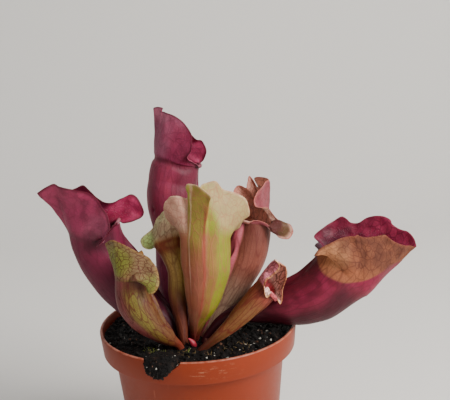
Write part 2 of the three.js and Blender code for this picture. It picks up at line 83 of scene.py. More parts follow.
RIM_ROUNDING = 0.3  # how far the margin's edge stands out between both sides, as a share of the wall

POT_HEIGHT = 100
RIM_RADIUS = 60
COLLAR_HEIGHT = 14.6
COLLAR_FOOT_RADIUS = 58.6
BODY_TOP_RADIUS = 52
BASE_RADIUS = 43
POT_WALL = 1.5
DRAIN_HOLES = 8
DRAIN_RADIUS = 3.5
DRAIN_CIRCLE = 31
DRAIN_TURN = 0.01  # radians that keep the holes off the base's own edges
DRILL_ENDS = (-3, 5)  # heights under and over the base
CHIP = (
    (-30.5, 102),
    (-29.4, 95),
    (-26.4, 92.6),
    (-22.4, 90.8),
    (-18.4, 92.4),
    (-13.2, 95.8),
    (-9.6, 99),
    (-8.4, 102),
)
CRACK = (  # x and z from the chip's lowest point, and half width
    (0, 1.5, 0.22),
    (0.25, -0.6, 0.16),
    (0.1, -1.5, 0.14),
    (0.7, -2.6, 0.1),
    (1.1, -4.2, 0.02),
)
CHIP_DEPTH = (40, 66)  # the cutters stand from here to here in front of the pot's axis
SCUFF_CENTRE = (11, 92.5)  # x and z of the scuffed patch on the collar's front
SCUFF_SIZE = (19, 6)

CLEARANCE = 0.35
SOIL_LEVEL = 96.6
BED_TOP_FROM = 90  # the bed's whole top lies over this level
CRUMBS_WITHIN = 56.5  # radius
SPILL_SIZE = (13.5, 12, 9.5)  # half widths of the lump in the chip
SPILL_CENTRE = (-19.5, -49.6, 92.5)
SPILL_DEPTH = (38, 66)
SPILL_SIDE_GAP = 0.25
SPILL_FOOT_GAP = 0.4
SPILL_GRAIN = 0.55
SPILL_FRONT = -50  # crumbs lie on the lump where y is less
SPILL_CRUMBS = 0.7  # their size there, as a share of the bed's largest
MOSS = ((-27, -32, 4.5), (-20, -37, 2.5), (-5, -36.5, 2))  # x, y and radius of patches on the soil
FIBRES = ((-11, -37, 5), (8, -43, 4), (-3, -41, 3), (22, -34, 8))
SHOOT = (
    (-2.2, -28.5, FOOT_LEVEL, 1.2),
    (-1.8, -28.7, 96, 1.4),
    (-2.6, -29, 98.4, 1.7),
    (-3.8, -29.1, 100.2, 1.2),
    (-5.2, -29.2, 101.8, 0.35),
)
STUB = (
    (3.6, -28, FOOT_LEVEL, 1.3),
    (4.4, -28.3, 97, 1.4),
    (5.6, -28.6, 100.2, 1.3),
)

# ---- Camera and lights ----
CAMERA_DISTANCE = 600  # from the point over the pot that it looks at
CAMERA_ELEVATION = 15.4
CAMERA_ROLL = -3.0
CAMERA_TARGET = (20.4, 0, 176.3)
PHOTO_WIDTH = 450
FOCAL_PIXELS = 1013
SENSOR_WIDTH = 36
LIGHTS = (  # name, place and width in metres, share of the key light's power, colour
    ("key_light", (0.75, -0.55, 0.75), 0.6, 1.0, (1.0, 0.97, 0.93)),
    ("back_light", (-0.3, 0.5, 1.2), 1.2, 0.12, (1.0, 1.0, 1.0)),
)
LIT_POINT = (0, 0, 0.14)
FLOOR_HALF_WIDTH = 2000
FLOOR_ROWS = (-1500, -500, 500)
BACKDROP_BEND = 400  # radius of the curve from the floor up to the wall
BACKDROP_HEIGHT = 2000


# ---- Colour washes and shape touches ----
def where(side=None, reach=None, turn=None, turn_end=None, edge=None, spot=None, patchy=0.0):
    """Where on a leaf something lies.

    side: "out" or "in". reach: up the leaf, 0 at the foot, 1 at the mouth, 2 at the margin, as
    (starts, full, full until, gone). turn: round the leaf, as (centre, half width, softness) in
    degrees from the front; turn_end: the same at the margin, if it leans on the way there. edge: fades
    out over these two distances from the margin, in mm. spot: a ball (x, y, z, radius, softness) in mm.
    patchy: how far noise breaks it up.
    """
    return dict(side=side, reach=reach, turn=turn, turn_end=turn_end, edge=edge, spot=spot, patchy=patchy)


def below(full, gone):
    """A reach from the foot up: full until the first value, gone at the second."""
    return -1, -0.9, full, gone


def above(starts, full):
    """A reach that starts at the first value, is full at the second and runs on to the margin."""
    return starts, full, 3, 4


def wash(colour, amount=1.0, veins=None, dry=None, **place):
    """A layer of colour, and what the leaf's vein strength and dryness become there."""
    return dict(colour=colour, amount=amount, veins=veins, dry=dry, place=where(**place))


def push(height, **place):
    """Moves the leaf's surface outwards by a height in mm."""
    return dict(height=height, place=where(**place))


# front: the way the mouth faces. dip: how far the mouth's sides drop. arch: how far the hood runs on
# before it turns to its margin, as a share of the way. wing: height of the keel down the front. belly:
# more turn at the hood's back, in degrees. lip: radius of the rolled lip. path: centre line from the
# soil to the mouth, as x, y, z, half width and half depth. margin: the hood's free edge, as the angle
# round the mouth (0 at the front) and x, y, z from the mouth's centre. shape: where the surface is
# pushed in or out. vein: colour of the veins. cell: size of their net. paint: washes, lowest first.
PITCHERS = [
    dict(
        name="pitcher_left_red", slot="leaf_burgundy", front=(1, 0, 0), dip=6, arch=0.45, wing=5,
        path=[
            (-9.5, -18.5, FOOT_LEVEL, 2, 2.2), (-13, -17.5, 101, 2.4, 2.8),
            (-22.5, -14, 110.5, 6, 7.5), (-35.8, -7, 118, 9, 11.8), (-48.2, -1, 133.5, 12.5, 15),
            (-56.3, 3, 149.5, 13.5, 15.6), (-59.2, 4, 163, 13.5, 15.5),
        ],
        margin=[
            (-44, 16, -13, 5), (-54, 12, -15, 1), (-63, 4, -22, -6), (-73, 9, -28, 0),
            (-82, 12, -25, 5), (-96, 12, -22, 11), (-115, 8, -19, 18), (-135, 2, -15, 24),
            (-150, -11.5, -11, 27), (-158, -16.5, -9, 28), (-165, -21, -7, 29), (180, -31, -2, 23),
            (165, -24, 2, 25), (148, -14.5, 5, 22), (141, -9.5, 7, 22.5), (135, -5, 8, 24),
            (122, -1, 10, 19), (108, 5, 12, 12), (93, 11, 13, 11), (82, 17, 14, 13), (73, 22.5, 15, 15),
            (64, 27, 15, 11), (55, 29.5, 14, 3), (46, 25, 12, -1), (36, 17, 8, -2),
        ],
        vein="#3c0c1a", cell=3.0, vein_strength=0.25,
        paint=[
            wash("#54172a"),
            wash("#421020", reach=below(0.2, 0.5)),
            wash("#7a2440", 0.7, reach=(0.5, 0.8, 1.0, 1.1), side="out", patchy=0.4),
            wash("#953352", reach=above(0.98, 1.25), side="out", patchy=0.35),
            wash("#a04a64", 0.6, reach=above(1.0, 1.2), turn=(-75, 25, 20), side="out"),
            # painted shade on the tube under the hood's near lobe
            wash("#3e1020", 0.7, turn=(-66, 20, 16), reach=(0.8, 0.93, 1.0, 1.04), side="out"),
            wash("#86183a", side="in"),
            # painted shade: the tube's inside and throat darkened
            wash("#3e0a18", side="in", reach=below(1.0, 1.35)),
            wash("#a83058", side="in", turn=(62, 40, 30), reach=above(1.35, 1.6), patchy=0.6),
            # painted shade inside the far lobe's back end
            wash("#3e0a1e", 0.85, side="in", turn=(160, 55, 20), reach=above(1.3, 1.5)),
            # painted shadow in the crease under the hood's fold
            wash("#360c18", 0.5, side="out", spot=(-59, -14, 157.5, 5.5, 5)),
            wash("#4e0a1e", 0.85, edge=(0.2, 1.3)),
            wash("#b07880", 0.7, turn=(0, 22, 8), reach=above(1.0, 1.15)),
        ],
    ),
    dict(
        name="pitcher_back_red", slot="leaf_burgundy", front=(1, 0, 0), dip=0, arch=0.6, wing=3,
        path=[
            (-6, -14.5, FOOT_LEVEL, 2.2, 2.4), (-7, -13.5, 99.5, 3, 3), (-12, -2, 109, 7, 6.5),
            (-14, 11, 124, 10, 10), (-12.5, 22, 146.5, 10.5, 11.6),
            (-12.5, 28, 170.5, 14.5, 15.5), (-11, 31, 182.5, 14, 15.1),
            (-8.5, 32, 193.5, 13.5, 14.5),
        ],
        margin=[
            (-36, 11, -11, 1), (-50, 8, -15, 4), (-64, 7, -17, 7), (-80, 10, -17, 11),
            (-97, 11, -15, 16), (-106, 11, -14, 19), (-115, 9, -13, 23), (-124, 6.5, -11.5, 26.5),
            (-133, 3.5, -10, 29), (-141, 0, -8.5, 31), (-150, -3, -7, 32), (-160, -5, -5, 32.5),
            (-167, -7, -4, 33), (-173, -6, -3, 34.5), (180, -9, -1, 35), (173, -12, 1, 34),
            (168, -11, 2, 31.5), (158, -7, 3, 30), (148, -3.5, 4, 29), (132, 2.5, 5, 25),
            (115, 8, 7, 18), (98, 13, 9, 12), (85, 16.5, 10, 10), (72, 19, 10, 4), (58, 17, 10, -1.5),
            (40, 14, 9, -4),
        ],
        shape=[
            push(-0.6, turn=(-130, 100, 20), reach=(0.94, 0.99, 1.02, 1.1)),
            push(0.5, turn=(-130, 100, 20), reach=(0.8, 0.9, 0.92, 0.97)),
            push(-1.4, spot=(-24.3, 18, 167.7, 0.6, 1.1)),
        ],
        vein="#3c0c1a", cell=3.2, vein_strength=0.25,
        paint=[
            wash("#83294a"),
            # painted light on the tube's left side, which the key light leaves in shade
            wash("#93405a", 0.8, side="out", turn=(-150, 30, 25), reach=(0.3, 0.5, 1.0, 1.04)),
            wash("#5e1430", reach=below(0.15, 0.4)),
            wash("#8a2e46", reach=(0.4, 0.6, 1.05, 1.1), side="out", patchy=0.3),
            # painted shade round the neck under the hood's bulge
            wash("#541a2a", 0.6, reach=(0.93, 0.99, 1.02, 1.1), side="out", turn=(-60, 70, 30)),
            # painted shade over the tube's right front, where the key light falls
            wash("#5c1a2e", 0.8, side="out", turn=(-35, 35, 25), reach=(0.3, 0.5, 0.96, 1.03)),
            wash("#7a2440", side="out", reach=above(1.02, 1.25)),
            wash("#a2566e", 0.8, side="out", reach=above(1.02, 1.15), turn=(-165, 35, 20)),
            wash("#963452", 0.5, side="out", reach=(1.3, 1.5, 1.8, 2), turn=(-110, 30, 30), patchy=0.5),
            wash("#c07088", 0.7, side="out", reach=above(1.65, 1.85), turn=(180, 30, 12)),
            wash("#a53a5c", side="in"),
            # painted shade: the tube's inside and throat darkened
            wash("#4e0e1c", side="in", reach=below(1.0, 1.3)),
            wash("#d8a8a0", 0.9, side="out", spot=(-13.1, 12, 179.2, 0.1, 0.8)),
            wash("#4e0a1e", 0.85, edge=(0.2, 1.2)),
            wash("#7a4450", 0.8, turn=(0, 24, 10), reach=above(1.0, 1.2)),
        ],
    ),
    dict(
        name="pitcher_front_veined", slot="leaf_veined_green", front=(1, 0, 0), dip=0, arch=0.45, wing=2,
        path=[
            (-8.5, -30.5, FOOT_LEVEL, 1.9, 2.2), (-11, -31, 98.5, 2, 2.4), (-17, -33, 104.5, 4.5, 4.5),
            (-26.5, -34, 114, 7.5, 8), (-33, -33, 124, 9.5, 10), (-35.5, -31, 133, 9, 10),
            (-35.5, -30, 141, 9, 9.5),
        ],
        margin=[
            (-38, 11, -5, 2), (-50, 9, -11, -2), (-60, 11, -13, -5), (-69, 13.5, -13, -4.5),
            (-80, 16, -12, -1), (-94, 16.5, -10, 3), (-108, 15, -8, 9), (-116, 13, -7.5, 12),
            (-124, 11, -7, 14.5), (-140, 2.5, -6, 19), (-150, -2.5, -5, 22), (-160, -7, -4, 24),
            (-170, -9.5, -2, 24), (180, -12, 0, 22.5), (170, -13.5, 2, 20.5), (158, -11, 4, 18.5),
            (138, 0.5, 8, 13.5), (126, 5, 10, 12), (120, 6, 11, 13), (110, 7, 11.5, 10.5),
            (100, 7, 12, 9), (82, 8, 11, 2), (62, 8, 10, -2), (40, 9, 7, -2),
        ],
        vein="#4c1814", cell=2.3, vein_strength=0.85,
        paint=[
            wash("#645424"),
            wash("#6a2c1c", reach=below(0.2, 0.5)),
            wash("#6c6226", 0.7, reach=(0.3, 0.6, 0.8, 0.98), turn=(-70, 20, 45)),
            wash("#743038", 0.85, side="out", turn=(180, 55, 30), reach=(0.2, 0.35, 0.95, 1.1)),
            wash("#5e3a22", 0.8, side="out", turn=(-10, 45, 20), reach=(0.2, 0.35, 0.95, 1.0)),
            # painted shadow cast by the hood's lobe on the tube below the mouth
            wash("#4a1c14", 0.8, side="out", turn=(-60, 40, 20), reach=(0.8, 0.9, 0.98, 1.02)),
            wash("#7a6244", side="out", reach=above(1.04, 1.2)),
            wash("#84533f", 0.6, side="out", reach=(1.04, 1.1, 1.25, 1.5)),
            wash("#6c702a", 0.9, side="out", reach=above(1.1, 1.2), spot=(-21, -43, 138, 7, 6)),
            wash("#7c8030", 0.9, side="out", reach=above(1.1, 1.2), spot=(-44, -36, 152, 6, 7)),
            wash("#a5542c", 0.5, side="in"),
            wash("#8e6e3c", 0.7, edge=(0.2, 1.0)),
        ],
    ),
    dict(
        name="pitcher_olive", slot="leaf_olive", front=(0, 1, 0), dip=0, arch=0.45, wing=2,
        path=[
            (-6, -25.5, FOOT_LEVEL, 2, 2), (-8, -24.5, 97.5, 2.5, 2.5), (-9, -20, 110, 4, 4),
            (-10.5, -15, 123.5, 5.5, 5), (-10.2, -10, 136.5, 5.4, 6.3), (-12.2, -7, 146, 7, 7.8),
            (-14, -4, 152.5, 9, 8.5),
        ],
        margin=[
            (46, -5, 8, -2), (58, -10, 5, -4), (68, -13, 3, -4), (78, -16, 2, -2), (88, -17, 1, 2),
            (98, -15, 1, 5), (110, -10, 1, 9), (123, -7, 0, 15), (138, -4, 0, 18), (153, -1, -1, 21),
            (180, 5, -1, 25), (-150, 10, 0, 23), (-130, 15, 1, 18), (-110, 17, 3, 11), (-90, 18, 5, 5),
            (-70, 16, 8, -1), (-50, 8, 10, -3),
        ],
        vein="#6e3a24", cell=3.0, vein_strength=0.6,
        paint=[
            wash("#b89452"),
            wash("#4e1e14", reach=below(0.4, 0.68)),
            wash("#7d3f33", 0.6, turn=(100, 30, 25), reach=(0.3, 0.5, 1.0, 1.2)),
            # the neck's own red, darkened further as painted shade under the hood
            wash("#7c2a20", 0.9, reach=(0.78, 0.92, 1.02, 1.2), side="out", patchy=0.3),
            wash("#c4bb8e", side="out", reach=above(1.08, 1.3)),
            wash("#b88a74", 0.6, side="out", reach=(1.05, 1.15, 1.5, 1.8), turn=(-170, 30, 25), patchy=0.4),
            wash("#c0dc86", side="out", spot=(-31, -3, 151, 6, 6)),
            wash("#a49a52", 0.7, side="in"),
            wash("#c9b888", 0.6, edge=(0.2, 1.0)),
        ],
    ),
    dict(
        name="pitcher_pale", slot="leaf_pale", front=(0, 1, 0), dip=0, arch=0.45, wing=2,
        path=[
            (-2, -21, FOOT_LEVEL, 2.2, 2.2), (-2, -20.5, 97, 2.5, 2.4),
            (0.3, -21, 108.5, 5, 4.2), (4, -21.5, 121, 9.5, 8), (7, -22, 139, 13.5, 11.5),
            (7.5, -21.5, 149, 14.5, 12.5), (8, -20, 159.5, 14.5, 12.5),
        ],
        margin=[
            (50, -10, 11, -1), (70, -19, 8, 6.5), (85, -23, 6, 14), (100, -22.5, 3, 21),
            (108, -20.5, 1, 24), (115, -18.5, 0, 26), (124, -14, -2, 26.5), (132, -10, -2, 25),
            (139, -9, -3, 28), (145, -9, -4, 32), (151, -8, -4.5, 34), (158, -5.5, -6, 34),
            (166, -2.5, -8, 33.5), (173, 1.5, -11, 31), (180, 5, -13, 28), (-174, 2.5, -9, 29.5),
            (-166, -0.5, -7, 32), (-158, 0.5, -5, 33.5), (-150, 3.5, -3, 34), (-144, 7, -1, 34),
            (-137, 9.5, 0, 31.5), (-130, 12.5, 1, 28), (-118, 17.5, 2, 26), (-105, 23, 4, 22.5),
            (-97, 25.5, 5, 18.5), (-90, 26.5, 6, 14), (-82, 25.5, 7, 9.5), (-74, 22, 9, 5.5),
            (-68, 19, 10, 2), (-50, 11, 12, -3),
        ],
        vein="#9c5044", cell=3.2, vein_strength=0.42,
        paint=[
            wash("#8e8c34"),
            wash("#7c8222", turn=(-135, 32, 25), reach=(0.3, 0.45, 1.5, 1.9)),
            wash("#b07a60", turn=(142, 36, 10), reach=(0.15, 0.35, 1.0, 1.25), patchy=0.2),
            wash("#a8684c", 0.8, turn=(128, 16, 12), reach=(0.3, 0.5, 1.2, 1.5)),
            wash("#8a7a34", turn=(154, 18, 2), turn_end=(172, 16, 2), reach=above(0.7, 0.95), side="out"),
            wash("#8a4c34", 0.8, turn=(156, 22, 6), reach=(0.35, 0.5, 0.8, 1.1), side="out"),
            wash("#c8a68a", side="out", reach=above(1.05, 1.4), turn=(100, 33, 6)),
            wash("#a39060", side="out", reach=above(1.0, 1.4), turn=(-100, 42, 20)),
            wash("#c98a78", 0.5, side="out", reach=above(1.1, 1.4), turn=(100, 30, 15), patchy=0.5),
            wash("#8e5238", 0.6, turn=(-170, 12, 12), reach=(0.3, 0.45, 1.0, 1.3), side="out"),
            wash("#9c4232", 0.7, turn=(177, 1.6, 2), reach=(0.25, 0.5, 1.5, 1.95), side="out"),
            wash("#4c120e", reach=below(0.22, 0.48)),
            wash("#a3a04c", side="in"),
            # painted highlight: a thin pale line along the strip's raised left edge
            wash("#d8b49c", 0.4, turn=(139.5, 1.2, 1.5), turn_end=(156, 1.2, 1.5), reach=above(0.5, 0.7),
                 side="out"),
            wash("#d8b494", 0.6, edge=(0.2, 1.0)),
        ],
    ),
    dict(
        name="pitcher_right_pink", slot="leaf_pink_brown", front=(-0.75, -0.65, 0), dip=0, arch=0.45,
        wing=5,
        path=[
            (1.5, -14.5, FOOT_LEVEL, 2.2, 2.2), (3, -13, 96, 2.5, 2.5), (9.5, -9, 103.5, 5, 4.5),
            (18.3, -4, 114.5, 8, 7.5), (26.6, -1, 129, 10, 9.8), (33.5, 1, 144, 11, 11),
            (37.5, 3, 161, 10, 9.4),
        ],
        margin=[
            (42, 3.5, -10, 3), (62, 7.5, -11, 1), (70, 10.5, -11.5, -3), (78, 13, -12, -6.5),
            (90, 18.5, -12, -8), (95, 21, -12, -6), (100, 22, -12, -3), (106, 20.5, -10.5, 0.5),
            (112, 17.5, -9, 1.5), (117, 14, -8.5, 3.5), (124, 10.5, -8, 7), (130, 7.5, -10, 11.5),
            (136, 3, -12, 13), (140, 1, -13.5, 14), (146, 0, -14, 17.5), (152, 2, -13, 22),
            (158, 5.5, -11, 25.5), (163, 7, -9, 26.5), (168, 9, -6, 27), (172, 6.5, -3, 27.5),
            (176, 3.5, -1, 27.5), (180, 1, 1, 26.5), (-176, 1.5, 2, 24), (-172, 3, 3, 20.5),
            (-166, 0.5, 2, 24), (-160, -2, 1, 28), (-153, -3.5, 1, 24), (-146, -4, 0, 21),
            (-138, -6.5, -0.5, 22.5), (-130, -9, -1, 23), (-121, -11, -2, 21), (-112, -11.5, -3, 18.5),
            (-92, -10.5, -1, 13), (-72, -8.5, 0, 7), (-52, -8.5, 2, 3), (-36, -7.5, 0, 2),
        ],
        shape=[
            push(4, turn=(-60, 45, 25), reach=(0.55, 0.8, 1.0, 1.05)),
            push(-1.5, turn=(125, 30, 20), reach=(1.1, 1.3, 1.6, 1.95)),
        ],
        vein="#5c2424", cell=3.0, vein_strength=0.5,
        paint=[
            wash("#884f41"),
            wash("#ac8c76", reach=(0.15, 0.3, 0.5, 0.75)),
            wash("#6c3430", reach=below(0.08, 0.2)),
            # painted shade on the tube's upper face under the arm and hood
            wash("#62342c", 0.8, reach=(0.78, 0.95, 1.04, 1.2), side="out"),
            wash("#a8505c", turn=(0, 6, 5), reach=below(0.95, 1.1), side="out"),
            wash("#843440", 0.9, turn=(-60, 60, 4), reach=below(1.0, 1.2), side="out"),
            wash("#8a424a", side="out", reach=above(1.0, 1.2)),
            wash("#4c1c20", 0.9, side="out", turn=(95, 18, 6), reach=(1.15, 1.35, 1.8, 1.9)),
            wash("#eeb8a4", side="in"),
            wash("#c58776", side="in", turn=(-100, 60, 20), reach=above(1.2, 1.5), patchy=0.4),
            wash("#441818", 0.95, side="in", turn=(92, 16, 6), reach=(1.0, 1.2, 1.85, 1.95)),
            wash("#5c4a28", 0.7, side="in", turn=(96, 8, 6), reach=(1.6, 1.75, 1.9, 2.0)),
            wash("#b86a60", 0.8, edge=(0.2, 1.0)),
        ],
    ),
    dict(
        name="pitcher_right_small", slot="leaf_pink_brown", front=(0.45, -0.75, -0.3), dip=0, arch=1.0,
        belly=12, wing=1.5,
        path=[
            (-0.5, -34.5, FOOT_LEVEL, 1.9, 1.9), (1.5, -35.5, 96, 2.2, 2), (9, -35, 102, 3, 2.5),
            (18.5, -33, 109, 4.5, 4), (27.5, -30.5, 116.5, 6, 6), (35.5, -28, 123.5, 7.2, 6.8),
            (41, -26, 128, 7.4, 7),
        ],
        margin=[
            (46, 7, -2, -6.5), (55, 8, -2, -8.5), (64, 9, -2, -8), (79, 10.5, -1, -4), (92, 11, -1, 0),
            (125, 13, 1, 9), (138, 13, 1, 12.5), (150, 12.5, 1, 14), (176, 8, -1, 17.5),
            (-175, 6.5, -2, 18), (-165, 7.5, -4, 18), (-155, 8.5, -6, 17), (-140, 7, -8, 14.5),
            (-122, 3.5, -9, 11.5), (-106, 0.5, -10, 10.5), (-92, -0.5, -10.5, 8),
            (-78, -1.5, -10.5, 5.5), (-64, -1.5, -10, 2), (-50, 0.5, -8, -1.5),
        ],
        lip=0.9, vein="#5a1c14", cell=3.0, vein_strength=0.8,
        paint=[
            wash("#683a20"),
            wash("#74502a", 0.6, turn=(-30, 40, 30), reach=(0.1, 0.3, 0.7, 0.9)),
            wash("#6a2418", 0.8, turn=(150, 50, 30), reach=(0.2, 0.4, 0.95, 1.1)),
            wash("#401c12", 0.9, reach=below(0.25, 0.5)),
            wash("#84342a", 0.8, side="out", reach=above(0.75, 0.95), patchy=0.4),
            wash("#d87e90", side="out", reach=above(1.0, 1.2)),
            wash("#ffd0c0", side="in", reach=above(1.15, 1.3)),
            wash("#9c1c2c", side="in", reach=below(1.1, 1.3)),
            wash("#c98f48", 0.8, edge=(0.2, 0.9)),
            wash("#c04858", 0.9, turn=(0, 24, 10), reach=above(1.0, 1.1)),
        ],
    ),
    dict(
        name="pitcher_right_red", slot="leaf_burgundy", front=(-0.7, 0, 0.7), dip=0, arch=0.45, wing=3,
        path=[
            (3.2, -23, FOOT_LEVEL, 1.9, 1.9), (4.6, -22.5, 98, 2, 2.1), (12.5, -21, 106, 3, 3.5),
            (22.5, -19, 110, 4, 4.5), (39, -15, 112.3, 7, 8.8), (56.5, -15, 114.6, 11, 13.4),
            (70.6, -15, 118.9, 13.5, 16.4), (81.9, -14, 127, 14, 18), (87.8, -13, 132, 14, 20.4),
        ],
        margin=[
            (35, -16, -10, 16.5), (50, -18, -15, 16.5), (65, -14, -18, 21.5), (80, -7, -19, 25.5),
            (98, 1.5, -18, 27.5), (104, 5, -18, 27.5), (108, 6.5, -17.5, 28), (113, 9, -17, 26.5),
            (120, 13, -16, 25.5), (130, 18, -14.5, 25.5), (140, 23, -13, 25.5), (149, 27.5, -11, 21.5),
            (160, 32.5, -8, 18), (180, 42.5, -1, 13.5), (-172, 43.5, 2, 15), (-162, 42.5, 5, 18),
            (-152, 40, 7.5, 20.5), (-143, 35.5, 10, 21.5), (-134, 31.5, 12.5, 24),
            (-128, 30.5, 13.5, 26.5), (-120, 27, 15, 28.5), (-110, 22, 16.5, 28.5), (-100, 17, 18, 27),
            (-93, 12, 18.5, 24), (-85, 7.5, 19, 24.5), (-78, 5, 19, 27), (-72, 2, 19, 28.5),
            (-65, -2.5, 19, 26), (-58, -8, 17, 23.5), (-45, -15, 14, 18.5), (-30, -11, 8, 15.5),
        ],
        lip=1.3, vein="#300810", cell=3.4, vein_strength=0.3,
        paint=[
            wash("#641224"),
            wash("#3a0814", reach=below(0.4, 0.7)),
            wash("#4a0c1a", 0.8, turn=(20, 45, 30), reach=(0.3, 0.5, 0.9, 1.05)),
            wash("#7a1c38", 0.8, turn=(110, 40, 30), reach=(0.5, 0.7, 1.0, 1.2), patchy=0.6),
            # painted shade on the tube's underside
            wash("#2c0610", 0.8, side="out", turn=(165, 50, 35), reach=(0.2, 0.4, 0.85, 1.0)),
            wash("#7c1434", side="out", reach=above(1.0, 1.1)),
            wash("#70163a", side="in"),
            wash("#3c0418", 0.85, side="in", turn=(-80, 25, 15), reach=above(1.2, 1.4)),
            wash("#a03050", 0.7, side="in", turn=(-150, 40, 20), reach=above(1.3, 1.5), patchy=0.3,
                 veins=0.6),
            # painted shade: the tube's inside and throat darkened
            wash("#3a0812", side="in", reach=below(0.95, 1.25)),
            wash("#84243e", 0.6, side="in", reach=above(1.5, 1.8), patchy=0.7),
            wash("#8e5438", side="out", turn=(90, 90, 10), spot=(95.5, -32, 164, 34, 1.5),
                 veins=0.45, dry=1),
            wash("#8e5438", side="out", turn=(120, 80, 10), spot=(122, -20, 158, 21, 1.5),
                 veins=0.45, dry=1),
            # the dried patch's own tan, made paler as painted light against the shade of the hollow by the
            # mouth
            wash("#c88a60", 0.8, side="out", turn=(90, 90, 10), spot=(80, -31, 149, 7, 7)),
            wash("#5a3428", 0.85, side="out", turn=(90, 90, 10), spot=(112, -28, 162, 20, 18), patchy=0.3),
            wash("#7a4432", 0.7, edge=(0.3, 1.5), turn=(100, 70, 10)),
            wash("#4a2a38", 0.9, turn=(0, 30, 12), reach=above(1.0, 1.1)),
        ],
    ),
]


# ---- Small helpers ----
def linear(colour):
    """A web colour as linear red, green and blue."""
    values = [int(colour[i:i + 2], 16) / 255 for i in (1, 3, 5)]
    return tuple(v / 12.92 if v <= 0.04045 else ((v + 0.055) / 1.055) ** 2.4 for v in values)


def rgba(colour):
    return (*(linear(colour) if isinstance(colour, str) else tuple(colour)[:3]), 1.0)


def smooth(low, high, value):
    """0 below low, 1 above high, and a soft step between them."""
    t = np.clip((value - low) / (high - low), 0, 1)
    return t * t * (3 - 2 * t)


def unit(vectors):
    return vectors / np.maximum(np.linalg.norm(vectors, axis=-1, keepdims=True), 1e-9)


def through(rows, t, closed=False):
    """A smooth curve through rows of numbers, at t from 0 to 1 (Catmull-Rom on every column)."""
    rows = np.asarray(rows, float)
    count = len(rows)
    spans = count if closed else count - 1
    place = np.clip(np.asarray(t, float), 0, 1) * spans
    i = np.minimum(place.astype(int), spans - 1)
    u = (place - i)[:, None]

    def at(k):
        return rows[(i + k) % count] if closed else rows[np.clip(i + k, 0, count - 1)]

    a, b, c, d = at(-1), at(0), at(1), at(2)
    bend = (2 * a - 5 * b + 4 * c - d) * u * u
    turn = (3 * b - a - 3 * c + d) * u * u * u
    return 0.5 * (2 * b + (c - a) * u + bend + turn)


def wobble(points, size, seed=0.0):
    """Smooth noise, about -1 to 1, at points in mm, with lumps of the given size."""
    flat = np.asarray(points, float).reshape(-1, 3) / size + seed
    values = [noise.noise(Vector(p)) for p in flat]
    return np.array(values).reshape(np.shape(points)[:-1])


def new_mesh(name, points, faces, smooth_shaded=True):
    """A mesh from points in mm."""
    mesh = bpy.data.meshes.new(name)
    mesh.from_pydata([tuple(p) for p in np.asarray(points, float) * MM], [], faces)
    mesh.update()
    if smooth_shaded:
        mesh.shade_smooth()
    return mesh


def new_object(name, data, material=None):
    """An object in the scene, from a mesh, a lamp or a camera."""
    piece = bpy.data.objects.new(name, data)
    bpy.context.scene.collection.objects.link(piece)
    if material:
        data.materials.append(material)
    return piece


def finish_piece(piece, slot, *nodes):
    """Fixes a finished piece to the frame, with the nodes that it stands for."""
    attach(piece, BODY)
    if nodes:
        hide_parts(*nodes)


def applied(piece):
    """Turns a piece and its modifiers into a plain mesh."""
    evaluated = piece.evaluated_get(bpy.context.evaluated_depsgraph_get())
    mesh = bpy.data.meshes.new_from_object(evaluated)
    piece.modifiers.clear()
    old = piece.data
    piece.data = mesh
    bpy.data.meshes.remove(old)


def cut(piece, cutter, operation="DIFFERENCE"):
    """Cuts a piece with another object, which is used up."""
    modifier = piece.modifiers.new("cut", "BOOLEAN")
    modifier.operation = operation
    modifier.solver = "EXACT"
    modifier.object = cutter
    applied(piece)
    bpy.data.objects.remove(cutter)


def points_of(mesh):
    """The mesh's points in mm."""
    values = np.empty(len(mesh.vertices) * 3, np.float32)
    mesh.vertices.foreach_get("co", values)
    return values.reshape(-1, 3) / MM


def store(mesh, name, kind, values, field):
    """Keeps a value for each point of a mesh as an attribute."""
    layer = mesh.attributes.new(name, kind, "POINT")
    layer.data.foreach_set(field, np.asarray(values, np.float32).ravel())


def closed_mesh(name, rows, foot, crown):
    """A closed body from rows of points round it, with a fan of faces to a point at each end."""
    points = np.concatenate([rows.reshape(-1, 3), [foot, crown]])
    index = np.arange(rows.shape[0] * rows.shape[1]).reshape(rows.shape[:2])
    after = np.roll(index, -1, axis=1)
    quads = np.stack([index[:-1], after[:-1], after[1:], index[1:]], axis=-1).reshape(-1, 4)
    low = [(len(points) - 2, b, a) for a, b in zip(index[0], after[0])]
    high = [(a, b, len(points) - 1) for a, b in zip(index[-1], after[-1])]
    return new_mesh(name, points, quads.tolist() + low + high)


def facing_out(mesh):
    """Turns a closed mesh's faces outwards."""
    shape = bmesh.new()
    shape.from_mesh(mesh)
    bmesh.ops.recalc_face_normals(shape, faces=shape.faces)
    shape.to_mesh(mesh)
    shape.free()


# ---- Node trees ----
def feed(tree, socket, value):
    """Links a socket to another node's output, or sets its value."""
    if isinstance(value, bpy.types.NodeSocket):
        tree.links.new(value, socket)
    else:
        socket.default_value = value


def add(tree, kind, inputs=(), **settings):
    """A new node with its settings, and with its inputs given by place or by name."""
    node = tree.nodes.new(kind)
    for key, value in settings.items():
        setattr(node, key, value)
    pairs = inputs.items() if isinstance(inputs, dict) else enumerate(inputs)
    for key, value in pairs:
        if value is not None:
            feed(tree, node.inputs[key], value)
    return node


def maths(tree, operation, *values):
    return add(tree, "ShaderNodeMath", values, operation=operation).outputs[0]


def vector_maths(tree, operation, *values):
    return add(tree, "ShaderNodeVectorMath", values, operation=operation).outputs[0]


def scaled(tree, vector, factor):
    node = add(tree, "ShaderNodeVectorMath", {0: vector, "Scale": factor}, operation="SCALE")
    return node.outputs[0]


def mixed(tree, factor, low, high, mode="MIX"):
    """One colour laid over another."""
    node = add(tree, "ShaderNodeMix", {0: factor, 6: low, 7: high}, data_type="RGBA", blend_type=mode)
    return node.outputs[2]


